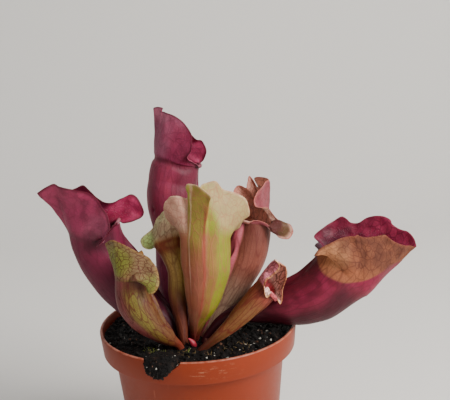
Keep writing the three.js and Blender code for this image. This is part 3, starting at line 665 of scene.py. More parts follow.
def spread(tree, value, low, high, to_low=0.0, to_high=1.0):
    """A value's range from low to high, moved softly to another range."""
    inputs = {"Value": value, "From Min": low, "From Max": high, "To Min": to_low, "To Max": to_high}
    return add(tree, "ShaderNodeMapRange", inputs, interpolation_type="SMOOTHSTEP").outputs[0]


def noise_of(tree, vector, scale, detail=2.0, roughness=0.5):
    inputs = {"Vector": vector, "Scale": scale, "Detail": detail, "Roughness": roughness}
    return add(tree, "ShaderNodeTexNoise", inputs).outputs["Fac"]


def group_tree(name, kind, inputs, outputs):
    """A node group with named sockets, and its input and output nodes."""
    tree = bpy.data.node_groups.new(name, kind)
    for label, socket, default in inputs:
        item = tree.interface.new_socket(label, in_out="INPUT", socket_type=socket)
        if default is not None:
            item.default_value = default
    for label, socket in outputs:
        tree.interface.new_socket(label, in_out="OUTPUT", socket_type=socket)
    return tree, tree.nodes.new("NodeGroupInput").outputs, tree.nodes.new("NodeGroupOutput")


def use_group(tree, group, inputs):
    node = tree.nodes.new(tree.bl_idname.replace("Tree", "Group"))
    node.node_tree = group
    for key, value in inputs.items():
        feed(tree, node.inputs[key], value)
    return node.outputs


def new_material(name):
    """A material with a bare Principled shader: its tree and that shader."""
    material = bpy.data.materials.new(name)
    material.use_nodes = True
    shader = material.node_tree.nodes["Principled BSDF"]
    return material, material.node_tree, shader


def bumped(tree, shader, height, distance, strength=1.0):
    node = add(tree, "ShaderNodeBump", {"Height": height, "Distance": distance, "Strength": strength})
    feed(tree, shader.inputs["Normal"], node.outputs[0])


def object_coordinates(tree):
    return tree.nodes.new("ShaderNodeTexCoord").outputs["Object"]


def run_nodes(piece, tree, values):
    """Runs a geometry-nodes tree on a piece, with its inputs by name, and keeps the plain result."""
    modifier = piece.modifiers.new("nodes", "NODES")
    modifier.node_group = tree
    for item in tree.interface.items_tree:
        if item.item_type == "SOCKET" and item.in_out == "INPUT" and item.name in values:
            modifier[item.identifier] = values[item.name]
    applied(piece)


def close_tree(tree, geometry, given, out):
    """Ends a geometry-nodes tree: real geometry, in its material."""
    real = add(tree, "GeometryNodeRealizeInstances", {"Geometry": geometry})
    final = add(tree, "GeometryNodeSetMaterial", {
        "Geometry": real.outputs[0], "Material": given["Material"]})
    feed(tree, out.inputs[0], final.outputs[0])
    return tree


def strewn_points(tree, surface, given):
    """Random points and directions on a surface, as dense as its "scatter" attribute allows."""
    allowed = add(tree, "GeometryNodeInputNamedAttribute", {"Name": "scatter"}, data_type="FLOAT")
    density = maths(tree, "MULTIPLY", given["Density"], allowed.outputs["Attribute"])
    return add(tree, "GeometryNodeDistributePointsOnFaces", {
        "Mesh": surface, "Density": density, "Seed": given["Seed"]}).outputs


def random_vector(tree, low, high, seed):
    node = add(tree, "FunctionNodeRandomValue", {0: (low,) * 3, 1: (high,) * 3, "Seed": seed},
               data_type="FLOAT_VECTOR")
    return node.outputs[0]


# ---- Shader groups ----
def vein_net():
    """Veins: bold ones that run up the leaf, branching, and a faint net of fine ones between them."""
    tree, given, out = group_tree(
        "vein_net", "ShaderNodeTree",
        [("Grain", "NodeSocketVector", None), ("Flow", "NodeSocketVector", None),
         ("Cell", "NodeSocketFloat", 3.0), ("Wander", "NodeSocketFloat", 0.5),
         ("Width", "NodeSocketFloat", 0.09), ("Fine", "NodeSocketFloat", 0.45)],
        [("Net", "NodeSocketFloat")],
    )

    def net(at, cell, width):
        place = scaled(tree, at, maths(tree, "DIVIDE", 1.0, cell))
        drift = add(tree, "ShaderNodeTexNoise", {"Vector": place, "Scale": 0.8, "Detail": 1.5})
        drift = vector_maths(tree, "SUBTRACT", drift.outputs["Color"], (0.5, 0.5, 0.5))
        place = vector_maths(tree, "ADD", place, scaled(tree, drift, given["Wander"]))
        cells = add(tree, "ShaderNodeTexVoronoi", {"Vector": place, "Scale": 1.0, "Randomness": 0.9},
                    feature="DISTANCE_TO_EDGE")
        return spread(tree, cells.outputs["Distance"], 0.0, width, 1.0, 0.0)

    bold = net(given["Grain"], given["Cell"], given["Width"])
    fine = net(given["Flow"], maths(tree, "MULTIPLY", given["Cell"], 0.62),
               maths(tree, "MULTIPLY", given["Width"], 1.1))
    fine = maths(tree, "MULTIPLY", fine, given["Fine"])
    feed(tree, out.inputs["Net"], maths(tree, "MAXIMUM", bold, fine))
    return tree


def mottle():
    """Uneven colour: a value a little over or under 1, in wide patches and in fine grain."""
    tree, given, out = group_tree(
        "mottle", "ShaderNodeTree",
        [("Vector", "NodeSocketVector", None), ("Scale", "NodeSocketFloat", 120.0),
         ("Amount", "NodeSocketFloat", 0.25)],
        [("Value", "NodeSocketFloat"), ("Grain", "NodeSocketFloat")],
    )
    wide = noise_of(tree, given["Vector"], given["Scale"], 3.0, 0.55)
    fine = noise_of(tree, given["Vector"], maths(tree, "MULTIPLY", given["Scale"], 12.0), 2.0)
    both = maths(tree, "ADD", maths(tree, "MULTIPLY", wide, 1.4), maths(tree, "MULTIPLY", fine, 0.6))
    value = maths(tree, "MULTIPLY", maths(tree, "SUBTRACT", both, 1.0), given["Amount"])
    feed(tree, out.inputs["Value"], maths(tree, "ADD", value, 1.0))
    feed(tree, out.inputs["Grain"], fine)
    return tree


def shade_by(tree, colour, value):
    """A colour made lighter or darker by a value."""
    if not isinstance(colour, bpy.types.NodeSocket):
        colour = colour[:3]
    return scaled(tree, colour, value)


# ---- Pitchers ----
def stations(leaf, t):
    """Centre, half width, half depth and directions of the tube at t, from the foot 0 to the mouth 1."""
    step = 0.01
    place = through(leaf["path"], t)
    rise = through(leaf["path"], np.clip(t + step, 0, 1)) - through(leaf["path"], np.clip(t - step, 0, 1))
    along = unit(rise[:, :3])
    front = np.asarray(leaf["front"], float)
    front = unit(front - along * (along @ front)[:, None])
    across = np.cross(along, front)
    dip = leaf["dip"] * smooth(DIP_FROM, 1, t)
    return dict(centre=place[:, :3], side=place[:, 3], depth=place[:, 4], dip=dip, along=along,
                front=front, across=across)


def tube_rows(leaf, t, angles, wing):
    """Points of the tube, row by row, with a keel down the front."""
    at = stations(leaf, t)
    keel_height = wing * np.sin(np.pi * np.clip((t - KEEL_FROM) / KEEL_LENGTH, 0, 1)) ** 1.5
    settings = bpy.context.scene.pitcher_leaves
    bearing = (angles + 180) % 360 - 180
    keel = keel_height[:, None] * np.exp(-(bearing / settings.keel_angle) ** 2)[None, :]
    turn = np.radians(angles)[None, :]
    forward = at["depth"][:, None] * np.cos(turn) + keel
    sideways = at["side"][:, None] * np.sin(turn)
    down = -at["dip"][:, None] * np.sin(turn) ** 2
    points = at["centre"][:, None, :] + forward[..., None] * at["front"][:, None, :]
    points = points + sideways[..., None] * at["across"][:, None, :]
    return points + down[..., None] * at["along"][:, None, :]


def hood_columns(leaf, count):
    """Angle and end point of each fine column round the mouth, evenly spaced along the margin."""
    mouth = {key: value[0] for key, value in stations(leaf, np.array([1.0])).items()}
    columns = []
    for angle in LIP_ANGLES:
        start = tube_rows(leaf, np.array([1.0]), np.array([float(angle)]), 0)[0, 0]
        outward = unit(start - mouth["centre"])
        columns.append((angle % 360, *(start + LIP_OUT * outward + LIP_UP * mouth["along"])))
    for angle, *offset in leaf["margin"]:
        columns.append((angle % 360, *(mouth["centre"] + np.array(offset, float))))
    columns.sort()
    coarse = np.array(columns, float)
    around = np.vstack([coarse[-1], coarse, coarse[:2]])
    around[0, 0] -= 360
    around[-2:, 0] += 360
    fine = through(around, np.linspace(1, len(coarse) + 1, 12 * len(coarse) + 1) / (len(around) - 1))
    swing = 0.25 * np.diff(fine[:, 0])  # in mm, so that a turn on the spot gets its columns too
    steps = np.linalg.norm(np.diff(fine[:, 1:], axis=0), axis=1) + swing
    length = np.concatenate([[0], np.cumsum(steps)])
    even = np.arange(count) * length[-1] / count
    picked = np.stack([np.interp(even, length, fine[:, k]) for k in range(4)], axis=1)
    return mouth, picked[:, 0], picked[:, 1:]


def hood_rows(leaf, mouth, start, ends, angles, u):
    """Points of the hood from the mouth's edge to its margin, with the lip rolled outwards."""
    settings = bpy.context.scene.pitcher_leaves
    outward = unit(start - mouth["centre"])
    along = mouth["along"]
    reach = ends - start
    length = np.linalg.norm(reach, axis=1)
    turn = np.arctan2((reach * outward).sum(1), reach @ along)
    leave = np.where(turn > 0, HOOD_LEAVE * turn, -HOOD_LEAVE_IN * turn)
    leave = leave + math.radians(leaf.get("belly", 0)) * np.sin(np.radians(angles) / 2) ** 4
    bend = start + (leaf["arch"] * length * np.cos(leave))[:, None] * along
    bend = bend + (leaf["arch"] * length * np.sin(leave))[:, None] * outward
    w = u[:, None, None]
    hood = (1 - w) ** 2 * start + 2 * w * (1 - w) * bend + w * w * ends
    bearing = np.abs((angles + 180) % 360 - 180)
    roll = (1 - smooth(LIP_ANGLES[-1], LIP_ANGLES[-1] + settings.lip_fade, bearing))[None, :, None]
    radius = leaf.get("lip", settings.lip_radius)
    curl = np.radians(settings.lip_curl) * w
    lip = start + radius * (1 - np.cos(curl)) * outward + LIP_RISE * radius * np.sin(curl) * along
    return hood + roll * (lip - hood), length


def surface_normals(rows, passes):
    """Outward direction at each point of a surface of closed rows, evened out."""
    up = np.empty_like(rows)
    up[1:-1] = rows[2:] - rows[:-2]
    up[0] = rows[1] - rows[0]
    up[-1] = rows[-1] - rows[-2]
    around = np.roll(rows, -1, axis=1) - np.roll(rows, 1, axis=1)
    normals = unit(np.cross(around, up))
    for _ in range(passes):
        total = normals + np.roll(normals, 1, axis=1) + np.roll(normals, -1, axis=1)
        total[1:] += normals[:-1]
        total[:-1] += normals[1:]
        normals = unit(total)
    return normals


def leaf_grid(leaf):
    """The outer surface of a leaf with its inner one, and where every point lies on the leaf."""
    settings = bpy.context.scene.pitcher_leaves
    mouth, angles, ends = hood_columns(leaf, settings.columns)
    t = np.linspace(0, 1, settings.tube_rows + 1)
    u = np.linspace(0, 1, settings.hood_rows + 1)[1:]
    tube = tube_rows(leaf, t, angles, leaf["wing"])
    bare = tube_rows(leaf, t, angles, 0)
    hood, length = hood_rows(leaf, mouth, tube[-1], ends, angles, u)
    outer = np.concatenate([tube, hood])
    bare = np.concatenate([bare, hood])
    reach = np.concatenate([t, 1 + u])
    normals = surface_normals(bare, settings.normal_passes)

    seed = 7.3 * len(leaf["name"])
    bearing = np.abs((angles + 180) % 360 - 180)
    free = smooth(LIP_ANGLES[-1], LIP_ANGLES[-1] + LIP_SOFT, bearing)
    wave = wobble(outer, settings.wave_size, seed) * settings.wave_height
    lumps = wobble(outer, settings.lump_size, seed + 5) * settings.lump_height
    rising = smooth(0.05, 0.3, reach)[:, None]
    shift = lumps * rising
    shift[len(t):] += wave[len(t):] * (u ** 2)[:, None] * free[None, :]
    far_from_edge = np.full((len(t), len(angles)), 99.0)
    edge = np.concatenate([far_from_edge, (1 - u)[:, None] * length[None, :]])
    grid = dict(angles=angles, seed=seed)
    for touch in leaf.get("shape", ()):
        shift += touch["height"] * mask_of(touch["place"], grid, outer, reach, edge, False)
    outer = outer + shift[..., None] * normals
    bare = bare + shift[..., None] * normals

    at = stations(leaf, t)
    first = int(np.argmax(np.minimum(at["side"], at["depth"]) > STALK_RADIUS))
    wall = settings.wall * (1 - MARGIN_THINNING * smooth(1.6, 2, reach))
    inner = (bare - wall[:, None, None] * normals)[first:]
    return dict(outer=outer, inner=inner, first=first, reach=reach, angles=angles, edge=edge, seed=seed)


def flow_of(rows, reach, angles, pull):
    """A place on the leaf for its veins: round it by angle, and up it, drawn out by these pulls.

    pull: how much longer than wide the cells are on the tube and on the hood.
    """
    steps = np.linalg.norm(np.diff(rows, axis=0), axis=2).mean(axis=1)
    local = pull[0] + (pull[1] - pull[0]) * smooth(0.8, 1.2, reach)
    rise = np.concatenate([[0], np.cumsum(steps / (0.5 * (local[1:] + local[:-1])))])
    perimeter = np.linalg.norm(rows - np.roll(rows, 1, axis=1), axis=2).sum(axis=1)
    radius = perimeter / (2 * np.pi)
    turn = np.radians(angles)[None, :]
    flow = np.empty(rows.shape)
    flow[..., 0] = radius[:, None] * np.cos(turn)
    flow[..., 1] = radius[:, None] * np.sin(turn)
    flow[..., 2] = rise[:, None]
    return flow


def mask_of(place, grid, points, reach, edge, inside):
    """How strongly a place covers each point, from 0 to 1."""
    mask = np.ones(points.shape[:2])
    if place["side"] and (place["side"] == "in") != inside:
        return 0 * mask
    grain = wobble(points, BORDER_DRIFT, grid["seed"] + 11)
    if place["reach"]:
        a, b, c, d = place["reach"]
        drift = reach[:, None] + 0.03 * grain
        mask = mask * smooth(a, b, drift) * (1 - smooth(c, d, drift))
    if place["turn"]:
        low, high = np.array(place["turn"], float), np.array(place["turn_end"] or place["turn"], float)
        lean = np.clip(reach - 1, 0, 1)[:, None]
        centre, half, soft = [a + lean * (b - a) for a, b in zip(low, high)]
        away = np.abs((grid["angles"][None, :] - centre + 180) % 360 - 180) + 0.4 * soft * grain
        mask = mask * (1 - smooth(half, half + soft, away))
    if place["edge"]:
        mask = mask * (1 - smooth(*place["edge"], edge))
    if place["spot"]:
        x, y, z, radius, soft = place["spot"]
        away = np.linalg.norm(points - np.array([x, y, z]), axis=2) + 0.4 * soft * grain
        mask = mask * (1 - smooth(radius, radius + soft, away))
    if place["patchy"]:
        rough = wobble(points, PATCH_SIZE, grid["seed"] + 3)
        mask = mask * (1 - place["patchy"] * smooth(-0.1, 0.35, rough))
    return mask


def painted(leaf, grid, points, reach, edge, inside):
    """Colour, vein strength and dryness of every point, from the leaf's washes."""
    shape = points.shape[:2]
    colour = np.zeros(shape + (3,))
    veins = np.full(shape, leaf["vein_strength"])
    dry = np.zeros(shape)
    for layer in leaf["paint"]:
        mask = layer["amount"] * mask_of(layer["place"], grid, points, reach, edge, inside)
        colour = colour + mask[..., None] * (np.array(linear(layer["colour"])) - colour)
        if layer["veins"] is not None:
            veins = veins + mask * (layer["veins"] - veins)
        if layer["dry"] is not None:
            dry = dry + mask * (layer["dry"] - dry)
    return colour, veins, dry


def leaf_mesh(leaf):
    """The leaf as one closed shell with its colours and vein places, and where hairs grow on it."""
    grid = leaf_grid(leaf)
    outer, inner, first, reach = grid["outer"], grid["inner"], grid["first"], grid["reach"]
    wall = bpy.context.scene.pitcher_leaves.wall
    rim = 0.5 * (outer[-1] + inner[-1]) + RIM_ROUNDING * wall * unit(outer[-1] - outer[-2])
    rows = np.concatenate([outer, rim[None], inner[::-1]])
    mesh = closed_mesh(leaf["name"], rows, outer[0].mean(axis=0), inner[0].mean(axis=0))

    def both_sides(out_part, in_part):
        return np.concatenate([out_part, out_part[-1:], in_part[::-1]])

    def keep(name, kind, values, field):
        flat = values.reshape(rows.shape[0] * rows.shape[1], -1)
        store(mesh, name, kind, np.concatenate([flat, flat[[0, -1]]]), field)

    out_paint = painted(leaf, grid, outer, reach, grid["edge"], False)
    in_paint = painted(leaf, grid, inner, reach[first:], grid["edge"][first:], True)
    colour, veins, dry = [both_sides(*parts) for parts in zip(out_paint, in_paint)]
    keep("tint", "FLOAT_COLOR", np.concatenate([colour, np.ones(colour.shape[:2] + (1,))], axis=2), "color")
    for label, pull in (("flow", NET_PULL), ("grain", BOLD_PULL)):
        place = flow_of(outer, reach, grid["angles"], pull)
        keep(label, "FLOAT_VECTOR", both_sides(place, place[first:]), "vector")
    keep("veins", "FLOAT", veins, "value")
    keep("dry", "FLOAT", dry, "value")
    starts, full, until, gone = HAIR_REACH
    hairy = np.zeros(rows.shape[:2])
    inside = smooth(starts, full, reach[first:]) * (1 - smooth(until, gone, reach[first:]))
    hairy[len(outer) + 1:] = inside[::-1, None]
    return mesh, np.concatenate([hairy.ravel(), [0, 0]])


def leaf_material(leaf):
    """Living leaf: washes of colour under a net of veins, satin, and dull where it has dried."""
    material, tree, shader = new_material(leaf["name"])

    def attribute(name, output):
        return add(tree, "ShaderNodeAttribute", attribute_name=name).outputs[output]

    tint = attribute("tint", "Color")
    dry = attribute("dry", "Fac")
    settings = bpy.context.scene.pitcher_leaves
    net = use_group(tree, GROUPS["vein_net"], {
        "Grain": attribute("grain", "Vector"), "Flow": attribute("flow", "Vector"),
        "Cell": leaf["cell"], "Width": settings.vein_width})
    uneven = use_group(tree, GROUPS["mottle"], {
        "Vector": object_coordinates(tree), "Scale": 130.0, "Amount": 0.45})
    colour = shade_by(tree, tint, uneven["Value"])
    strength = maths(tree, "MULTIPLY", net["Net"], attribute("veins", "Fac"))
    colour = mixed(tree, strength, colour, rgba(leaf["vein"]))
    feed(tree, shader.inputs["Base Color"], colour)
    gloss = maths(tree, "MULTIPLY", uneven["Grain"], 0.16)
    rough = maths(tree, "ADD", gloss, maths(tree, "MULTIPLY", dry, 0.35))
    feed(tree, shader.inputs["Roughness"], maths(tree, "ADD", rough, 0.42))
    shader.inputs["Subsurface Weight"].default_value = 0.12
    shader.inputs["Subsurface Radius"].default_value = (1.0, 0.45, 0.3)
    shader.inputs["Subsurface Scale"].default_value = 1.5 * MM
    shader.inputs["Specular IOR Level"].default_value = 0.22
    height = maths(tree, "MULTIPLY", net["Net"], 0.6)
    height = maths(tree, "ADD", height, maths(tree, "MULTIPLY", uneven["Grain"], 0.5))
    bumped(tree, shader, height, 0.18 * MM, 0.7)
    return material


# ---- Pot ----
def pot_profile():
    """Radius and height round the pot's wall, outside from the base up and inside down."""
    ledge = POT_HEIGHT - COLLAR_HEIGHT
    outside = [
        (0, 0), (BASE_RADIUS - 1.2, 0), (BASE_RADIUS - 0.4, 0.3), (BASE_RADIUS, 1),
        (BODY_TOP_RADIUS, ledge - 1.2), (BODY_TOP_RADIUS + 0.4, ledge - 0.4),
        (BODY_TOP_RADIUS + 1.4, ledge), (COLLAR_FOOT_RADIUS - 0.8, ledge),
        (COLLAR_FOOT_RADIUS - 0.25, ledge + 0.25), (COLLAR_FOOT_RADIUS, ledge + 0.8),
        (RIM_RADIUS - 0.05, POT_HEIGHT - 1), (RIM_RADIUS - 0.2, POT_HEIGHT - 0.35),
        (RIM_RADIUS - 0.6, POT_HEIGHT),
    ]
    inner_ledge = ledge + POT_WALL
    inside = [
        (RIM_RADIUS - POT_WALL, POT_HEIGHT), (RIM_RADIUS - 0.3 - POT_WALL, POT_HEIGHT - 0.4),
        (COLLAR_FOOT_RADIUS - POT_WALL, inner_ledge + 0.5),
        (COLLAR_FOOT_RADIUS - POT_WALL - 0.8, inner_ledge),
        (BODY_TOP_RADIUS - POT_WALL + 1, inner_ledge), (BODY_TOP_RADIUS - POT_WALL, inner_ledge - 1.2),
        (BASE_RADIUS - POT_WALL, POT_WALL + 1), (BASE_RADIUS - POT_WALL - 1, POT_WALL), (0, POT_WALL),
    ]
    return outside + inside


def turned_tree():
    """Geometry nodes that turn a profile of radius and height into a closed body."""
    tree, given, out = group_tree(
        "turned_body", "GeometryNodeTree",
        [("Profile", "NodeSocketGeometry", None), ("Segments", "NodeSocketInt", 192),
         ("Points", "NodeSocketInt", 20), ("Material", "NodeSocketMaterial", None)],
        [("Geometry", "NodeSocketGeometry")],
    )
    rounds = add(tree, "ShaderNodeMath", [given["Segments"], 1.0], operation="ADD").outputs[0]
    grid = add(tree, "GeometryNodeMeshGrid", {
        "Vertices X": rounds, "Vertices Y": given["Points"], "Size X": 1.0, "Size Y": 1.0})
    where = add(tree, "ShaderNodeSeparateXYZ", [tree.nodes.new("GeometryNodeInputPosition").outputs[0]])
    turn = maths(tree, "MULTIPLY", maths(tree, "ADD", where.outputs[0], 0.5), 2 * math.pi)
    last = maths(tree, "SUBTRACT", given["Points"], 1.0)
    row = maths(tree, "ROUND", maths(tree, "MULTIPLY", maths(tree, "ADD", where.outputs[1], 0.5), last))
    sample = add(tree, "GeometryNodeSampleIndex", data_type="FLOAT_VECTOR", domain="POINT")
    feed(tree, sample.inputs["Geometry"], given["Profile"])
    feed(tree, sample.inputs["Value"], tree.nodes.new("GeometryNodeInputPosition").outputs[0])
    feed(tree, sample.inputs["Index"], row)
    spot = add(tree, "ShaderNodeSeparateXYZ", [sample.outputs[0]])
    east = maths(tree, "MULTIPLY", spot.outputs[0], maths(tree, "COSINE", turn))
    north = maths(tree, "MULTIPLY", spot.outputs[0], maths(tree, "SINE", turn))
    place = add(tree, "ShaderNodeCombineXYZ", [east, north, spot.outputs[2]]).outputs[0]
    moved = add(tree, "GeometryNodeSetPosition", {"Geometry": grid.outputs["Mesh"], "Position": place})
    merged = add(tree, "GeometryNodeMergeByDistance", {"Geometry": moved.outputs[0], "Distance": 1e-6})
    smoothed = add(tree, "GeometryNodeSetShadeSmooth", {"Geometry": merged.outputs[0]})
    return close_tree(tree, smoothed.outputs[0], given, out)


def prism(name, outline, near, far):
    """A solid from an outline of x and z, standing from near to far in front of the pot's axis."""
    n = len(outline)
    points = [(x, -near, z) for x, z in outline] + [(x, -far, z) for x, z in outline]
    sides = [(i, (i + 1) % n, n + (i + 1) % n, n + i) for i in range(n)]
    faces = [tuple(reversed(range(n))), tuple(range(n, 2 * n))] + sides
    mesh = new_mesh(name, points, faces, False)
    facing_out(mesh)
    return new_object(name, mesh)


def rounded_chip():
    """The chip's outline with its corners softened."""
    return [tuple(p) for p in through(CHIP, np.linspace(0, 1, 5 * len(CHIP)))]


def crack_outline():
    """A hairline crack that runs down from the chip's lowest point."""
    x, z = min(CHIP, key=lambda point: point[1])
    left = [(x + a - half, z + b) for a, b, half in CRACK]
    right = [(x + a + half, z + b) for a, b, half in CRACK]
    return left + right[::-1]


def pot_material():
    """Terracotta-coloured plastic, a little uneven, with pale scuffs and scratches on the collar."""
    settings = bpy.context.scene.pitcher_pot
    material, tree, shader = new_material("terracotta_plastic")
    place = object_coordinates(tree)
    uneven = use_group(tree, GROUPS["mottle"], {"Vector": place, "Scale": 30.0, "Amount": 0.16})
    colour = shade_by(tree, rgba(settings.colour), uneven["Value"])
    x, y, z = add(tree, "ShaderNodeSeparateXYZ", [place]).outputs
    front = spread(tree, y, -45 * MM, -50 * MM)
    away = 0.0
    for value, centre, size in zip((x, z), SCUFF_CENTRE, SCUFF_SIZE):
        share = maths(tree, "DIVIDE", maths(tree, "SUBTRACT", value, centre * MM), size * MM)
        away = maths(tree, "ADD", maths(tree, "POWER", share, 2.0), away)
    zone = maths(tree, "MULTIPLY", spread(tree, away, 0.3, 1.0, 1.0, 0.0), front)
    long_way = add(tree, "ShaderNodeMapping", {"Vector": place, "Rotation": (0, 0.35, 0),
                                              "Scale": (140.0, 140.0, 900.0)}).outputs[0]
    streaks = noise_of(tree, long_way, 1.0, 4.0, 0.7)
    spots = noise_of(tree, place, 260.0, 3.0, 0.6)
    broken = maths(tree, "MULTIPLY", spread(tree, streaks, 0.52, 0.68), spread(tree, spots, 0.42, 0.6))
    scuff = maths(tree, "MULTIPLY", maths(tree, "MULTIPLY", broken, zone), 0.55)
    colour = mixed(tree, scuff, colour, rgba("#c08a68"))
    fine_way = add(tree, "ShaderNodeMapping", {"Vector": place, "Scale": (520.0, 520.0, 22.0)}).outputs[0]
    runs = spread(tree, noise_of(tree, fine_way, 1.0, 2.0, 0.5), 0.66, 0.78)
    ledge = POT_HEIGHT - COLLAR_HEIGHT
    body_only = spread(tree, z, (ledge + 0.1) * MM, (ledge - 0.9) * MM)
    colour = mixed(tree, maths(tree, "MULTIPLY", maths(tree, "MULTIPLY", runs, body_only), 0.3), colour,
                   rgba("#b8684a"))
    # a paler band along the rim's top edge, broken up in spots
    rim_only = spread(tree, z, (POT_HEIGHT - 0.8) * MM, (POT_HEIGHT - 0.2) * MM)
    pale_rim_band = maths(tree, "MULTIPLY", rim_only, spread(tree, spots, 0.3, 0.6, 0.1, 0.6))
    colour = mixed(tree, pale_rim_band, colour, rgba("#b87864"))
    feed(tree, shader.inputs["Base Color"], colour)
    rough = maths(tree, "ADD", maths(tree, "MULTIPLY", uneven["Grain"], 0.12), 0.36)
    feed(tree, shader.inputs["Roughness"], maths(tree, "ADD", rough, maths(tree, "MULTIPLY", scuff, 0.4)))
    shader.inputs["Subsurface Weight"].default_value = 0.08
    shader.inputs["Subsurface Scale"].default_value = 1.0 * MM
    shader.inputs["Specular IOR Level"].default_value = 0.2
    bumped(tree, shader, maths(tree, "ADD", uneven["Grain"], scuff), 0.06 * MM, 0.5)
    return material


# ---- Soil ----
def soil_top(x, y):
    """Height of the bed at x, y, without its crumbs."""
    wide = np.sin(0.21 * x + 1.1) * np.cos(0.19 * y + 0.4)
    fine = np.sin(0.63 * x + 0.37 * y) * np.cos(0.55 * y - 0.31 * x + 2)
    sunk = 1.5 * (np.hypot(x, y) / COLLAR_FOOT_RADIUS) ** 4
    return SOIL_LEVEL + 0.7 * wide + 0.6 * fine - sunk


def soil_mesh():
    """The bed: a rough top, and plain sides and floor inside the pot."""
    settings = bpy.context.scene.pitcher_soil
    edge = COLLAR_FOOT_RADIUS - POT_WALL - CLEARANCE + 0.5
    ledge = POT_HEIGHT - COLLAR_HEIGHT + POT_WALL + CLEARANCE
    wall = POT_WALL + CLEARANCE
    turn = 2 * np.pi * np.arange(settings.rings_around) / settings.rings_around
    sides = [
        (BASE_RADIUS - wall - 1, wall), (BASE_RADIUS - wall, wall + 1),
        (BODY_TOP_RADIUS - wall, ledge - 1.2), (BODY_TOP_RADIUS - wall + 1, ledge),
        (COLLAR_FOOT_RADIUS - wall - 0.8, ledge), (COLLAR_FOOT_RADIUS - wall, ledge + 1),
    ]
    rings = sides + [(radius, None) for radius in edge * np.linspace(1, 0, settings.rings + 1)[:-1]]
    rows = []
    for radius, height in rings:
        x, y = radius * np.cos(turn), radius * np.sin(turn)
        rows.append(np.stack([x, y, soil_top(x, y) if height is None else np.full(len(turn), height)], 1))
    rows = np.array(rows)
    top = rows[len(sides):]
    rough = 0.55 * wobble(top, 3.4) + 0.4 * np.abs(wobble(top, 1.5, 4.0)) + 0.2 * wobble(top, 0.7, 9.0)
    top[..., 2] += settings.roughness * rough
    return closed_mesh("soil_bed", rows, (0, 0, wall), top[-1].mean(axis=0))


def spill_mesh():
    """The lump of soil that bulges out through the chip, as a smooth ball."""
    tilt = np.linspace(0, np.pi, 41)[:, None]
    turn = 2 * np.pi * np.arange(64)[None, :] / 64
    height = -np.cos(tilt) + 0 * turn
    ball = np.stack([np.sin(tilt) * np.cos(turn), np.sin(tilt) * np.sin(turn), height], axis=-1)
    ball = ball * SPILL_SIZE + SPILL_CENTRE
    return closed_mesh("soil_spill", ball[1:-1], ball[0, 0], ball[-1, 0])


def grain_spill(spill):
    """Fits the lump into the chip and roughens it."""
    chip = rounded_chip()
    middle = 0.5 * (chip[0][0] + chip[-1][0])
    room = [(x - math.copysign(SPILL_SIDE_GAP, x - middle), z + SPILL_FOOT_GAP) for x, z in chip]
    cut(spill, prism("room", room, *SPILL_DEPTH), "INTERSECT")
    remesh = spill.modifiers.new("grain", "REMESH")
    remesh.mode = "VOXEL"
    remesh.voxel_size = SPILL_GRAIN * MM
    applied(spill)
    points = points_of(spill.data)
    outward = np.array([v.normal for v in spill.data.vertices])
    rough = 0.5 * wobble(points, 3.4, 2.0) + 0.35 * np.abs(wobble(points, 1.4, 6.0)) - 0.1
    points = (points + rough[:, None] * outward) * MM
    spill.data.vertices.foreach_set("co", points.astype(np.float32).ravel())
    spill.data.update()
    spill.data.shade_smooth()


def soil_material():
    """Damp dark peat, with browner and blacker crumbs."""
    material, tree, shader = new_material("peat")
    place = object_coordinates(tree)
    uneven = use_group(tree, GROUPS["mottle"], {"Vector": place, "Scale": 320.0, "Amount": 1.4})
    brown = spread(tree, noise_of(tree, place, 240.0, 3.0, 0.6), 0.55, 0.72)
    colour = mixed(tree, brown, rgba("#0b0706"), rgba("#24150d"))
    colour = shade_by(tree, colour, uneven["Value"])
    feed(tree, shader.inputs["Base Color"], colour)
    feed(tree, shader.inputs["Roughness"], spread(tree, uneven["Grain"], 0.3, 0.7, 0.5, 0.95))
    shader.inputs["Specular IOR Level"].default_value = 0.2
    bumped(tree, shader, uneven["Grain"], 0.5 * MM, 0.8)
    return material


def plain_material(name, colour, roughness, amount=0.3, scale=500.0):
    """A small natural thing: one colour, uneven from place to place."""
    material, tree, shader = new_material(name)
    uneven = use_group(tree, GROUPS["mottle"], {
        "Vector": object_coordinates(tree), "Scale": scale, "Amount": amount})
    feed(tree, shader.inputs["Base Color"], shade_by(tree, rgba(colour), uneven["Value"]))
    shader.inputs["Roughness"].default_value = roughness
    bumped(tree, shader, uneven["Grain"], 0.1 * MM, 0.6)
    return material


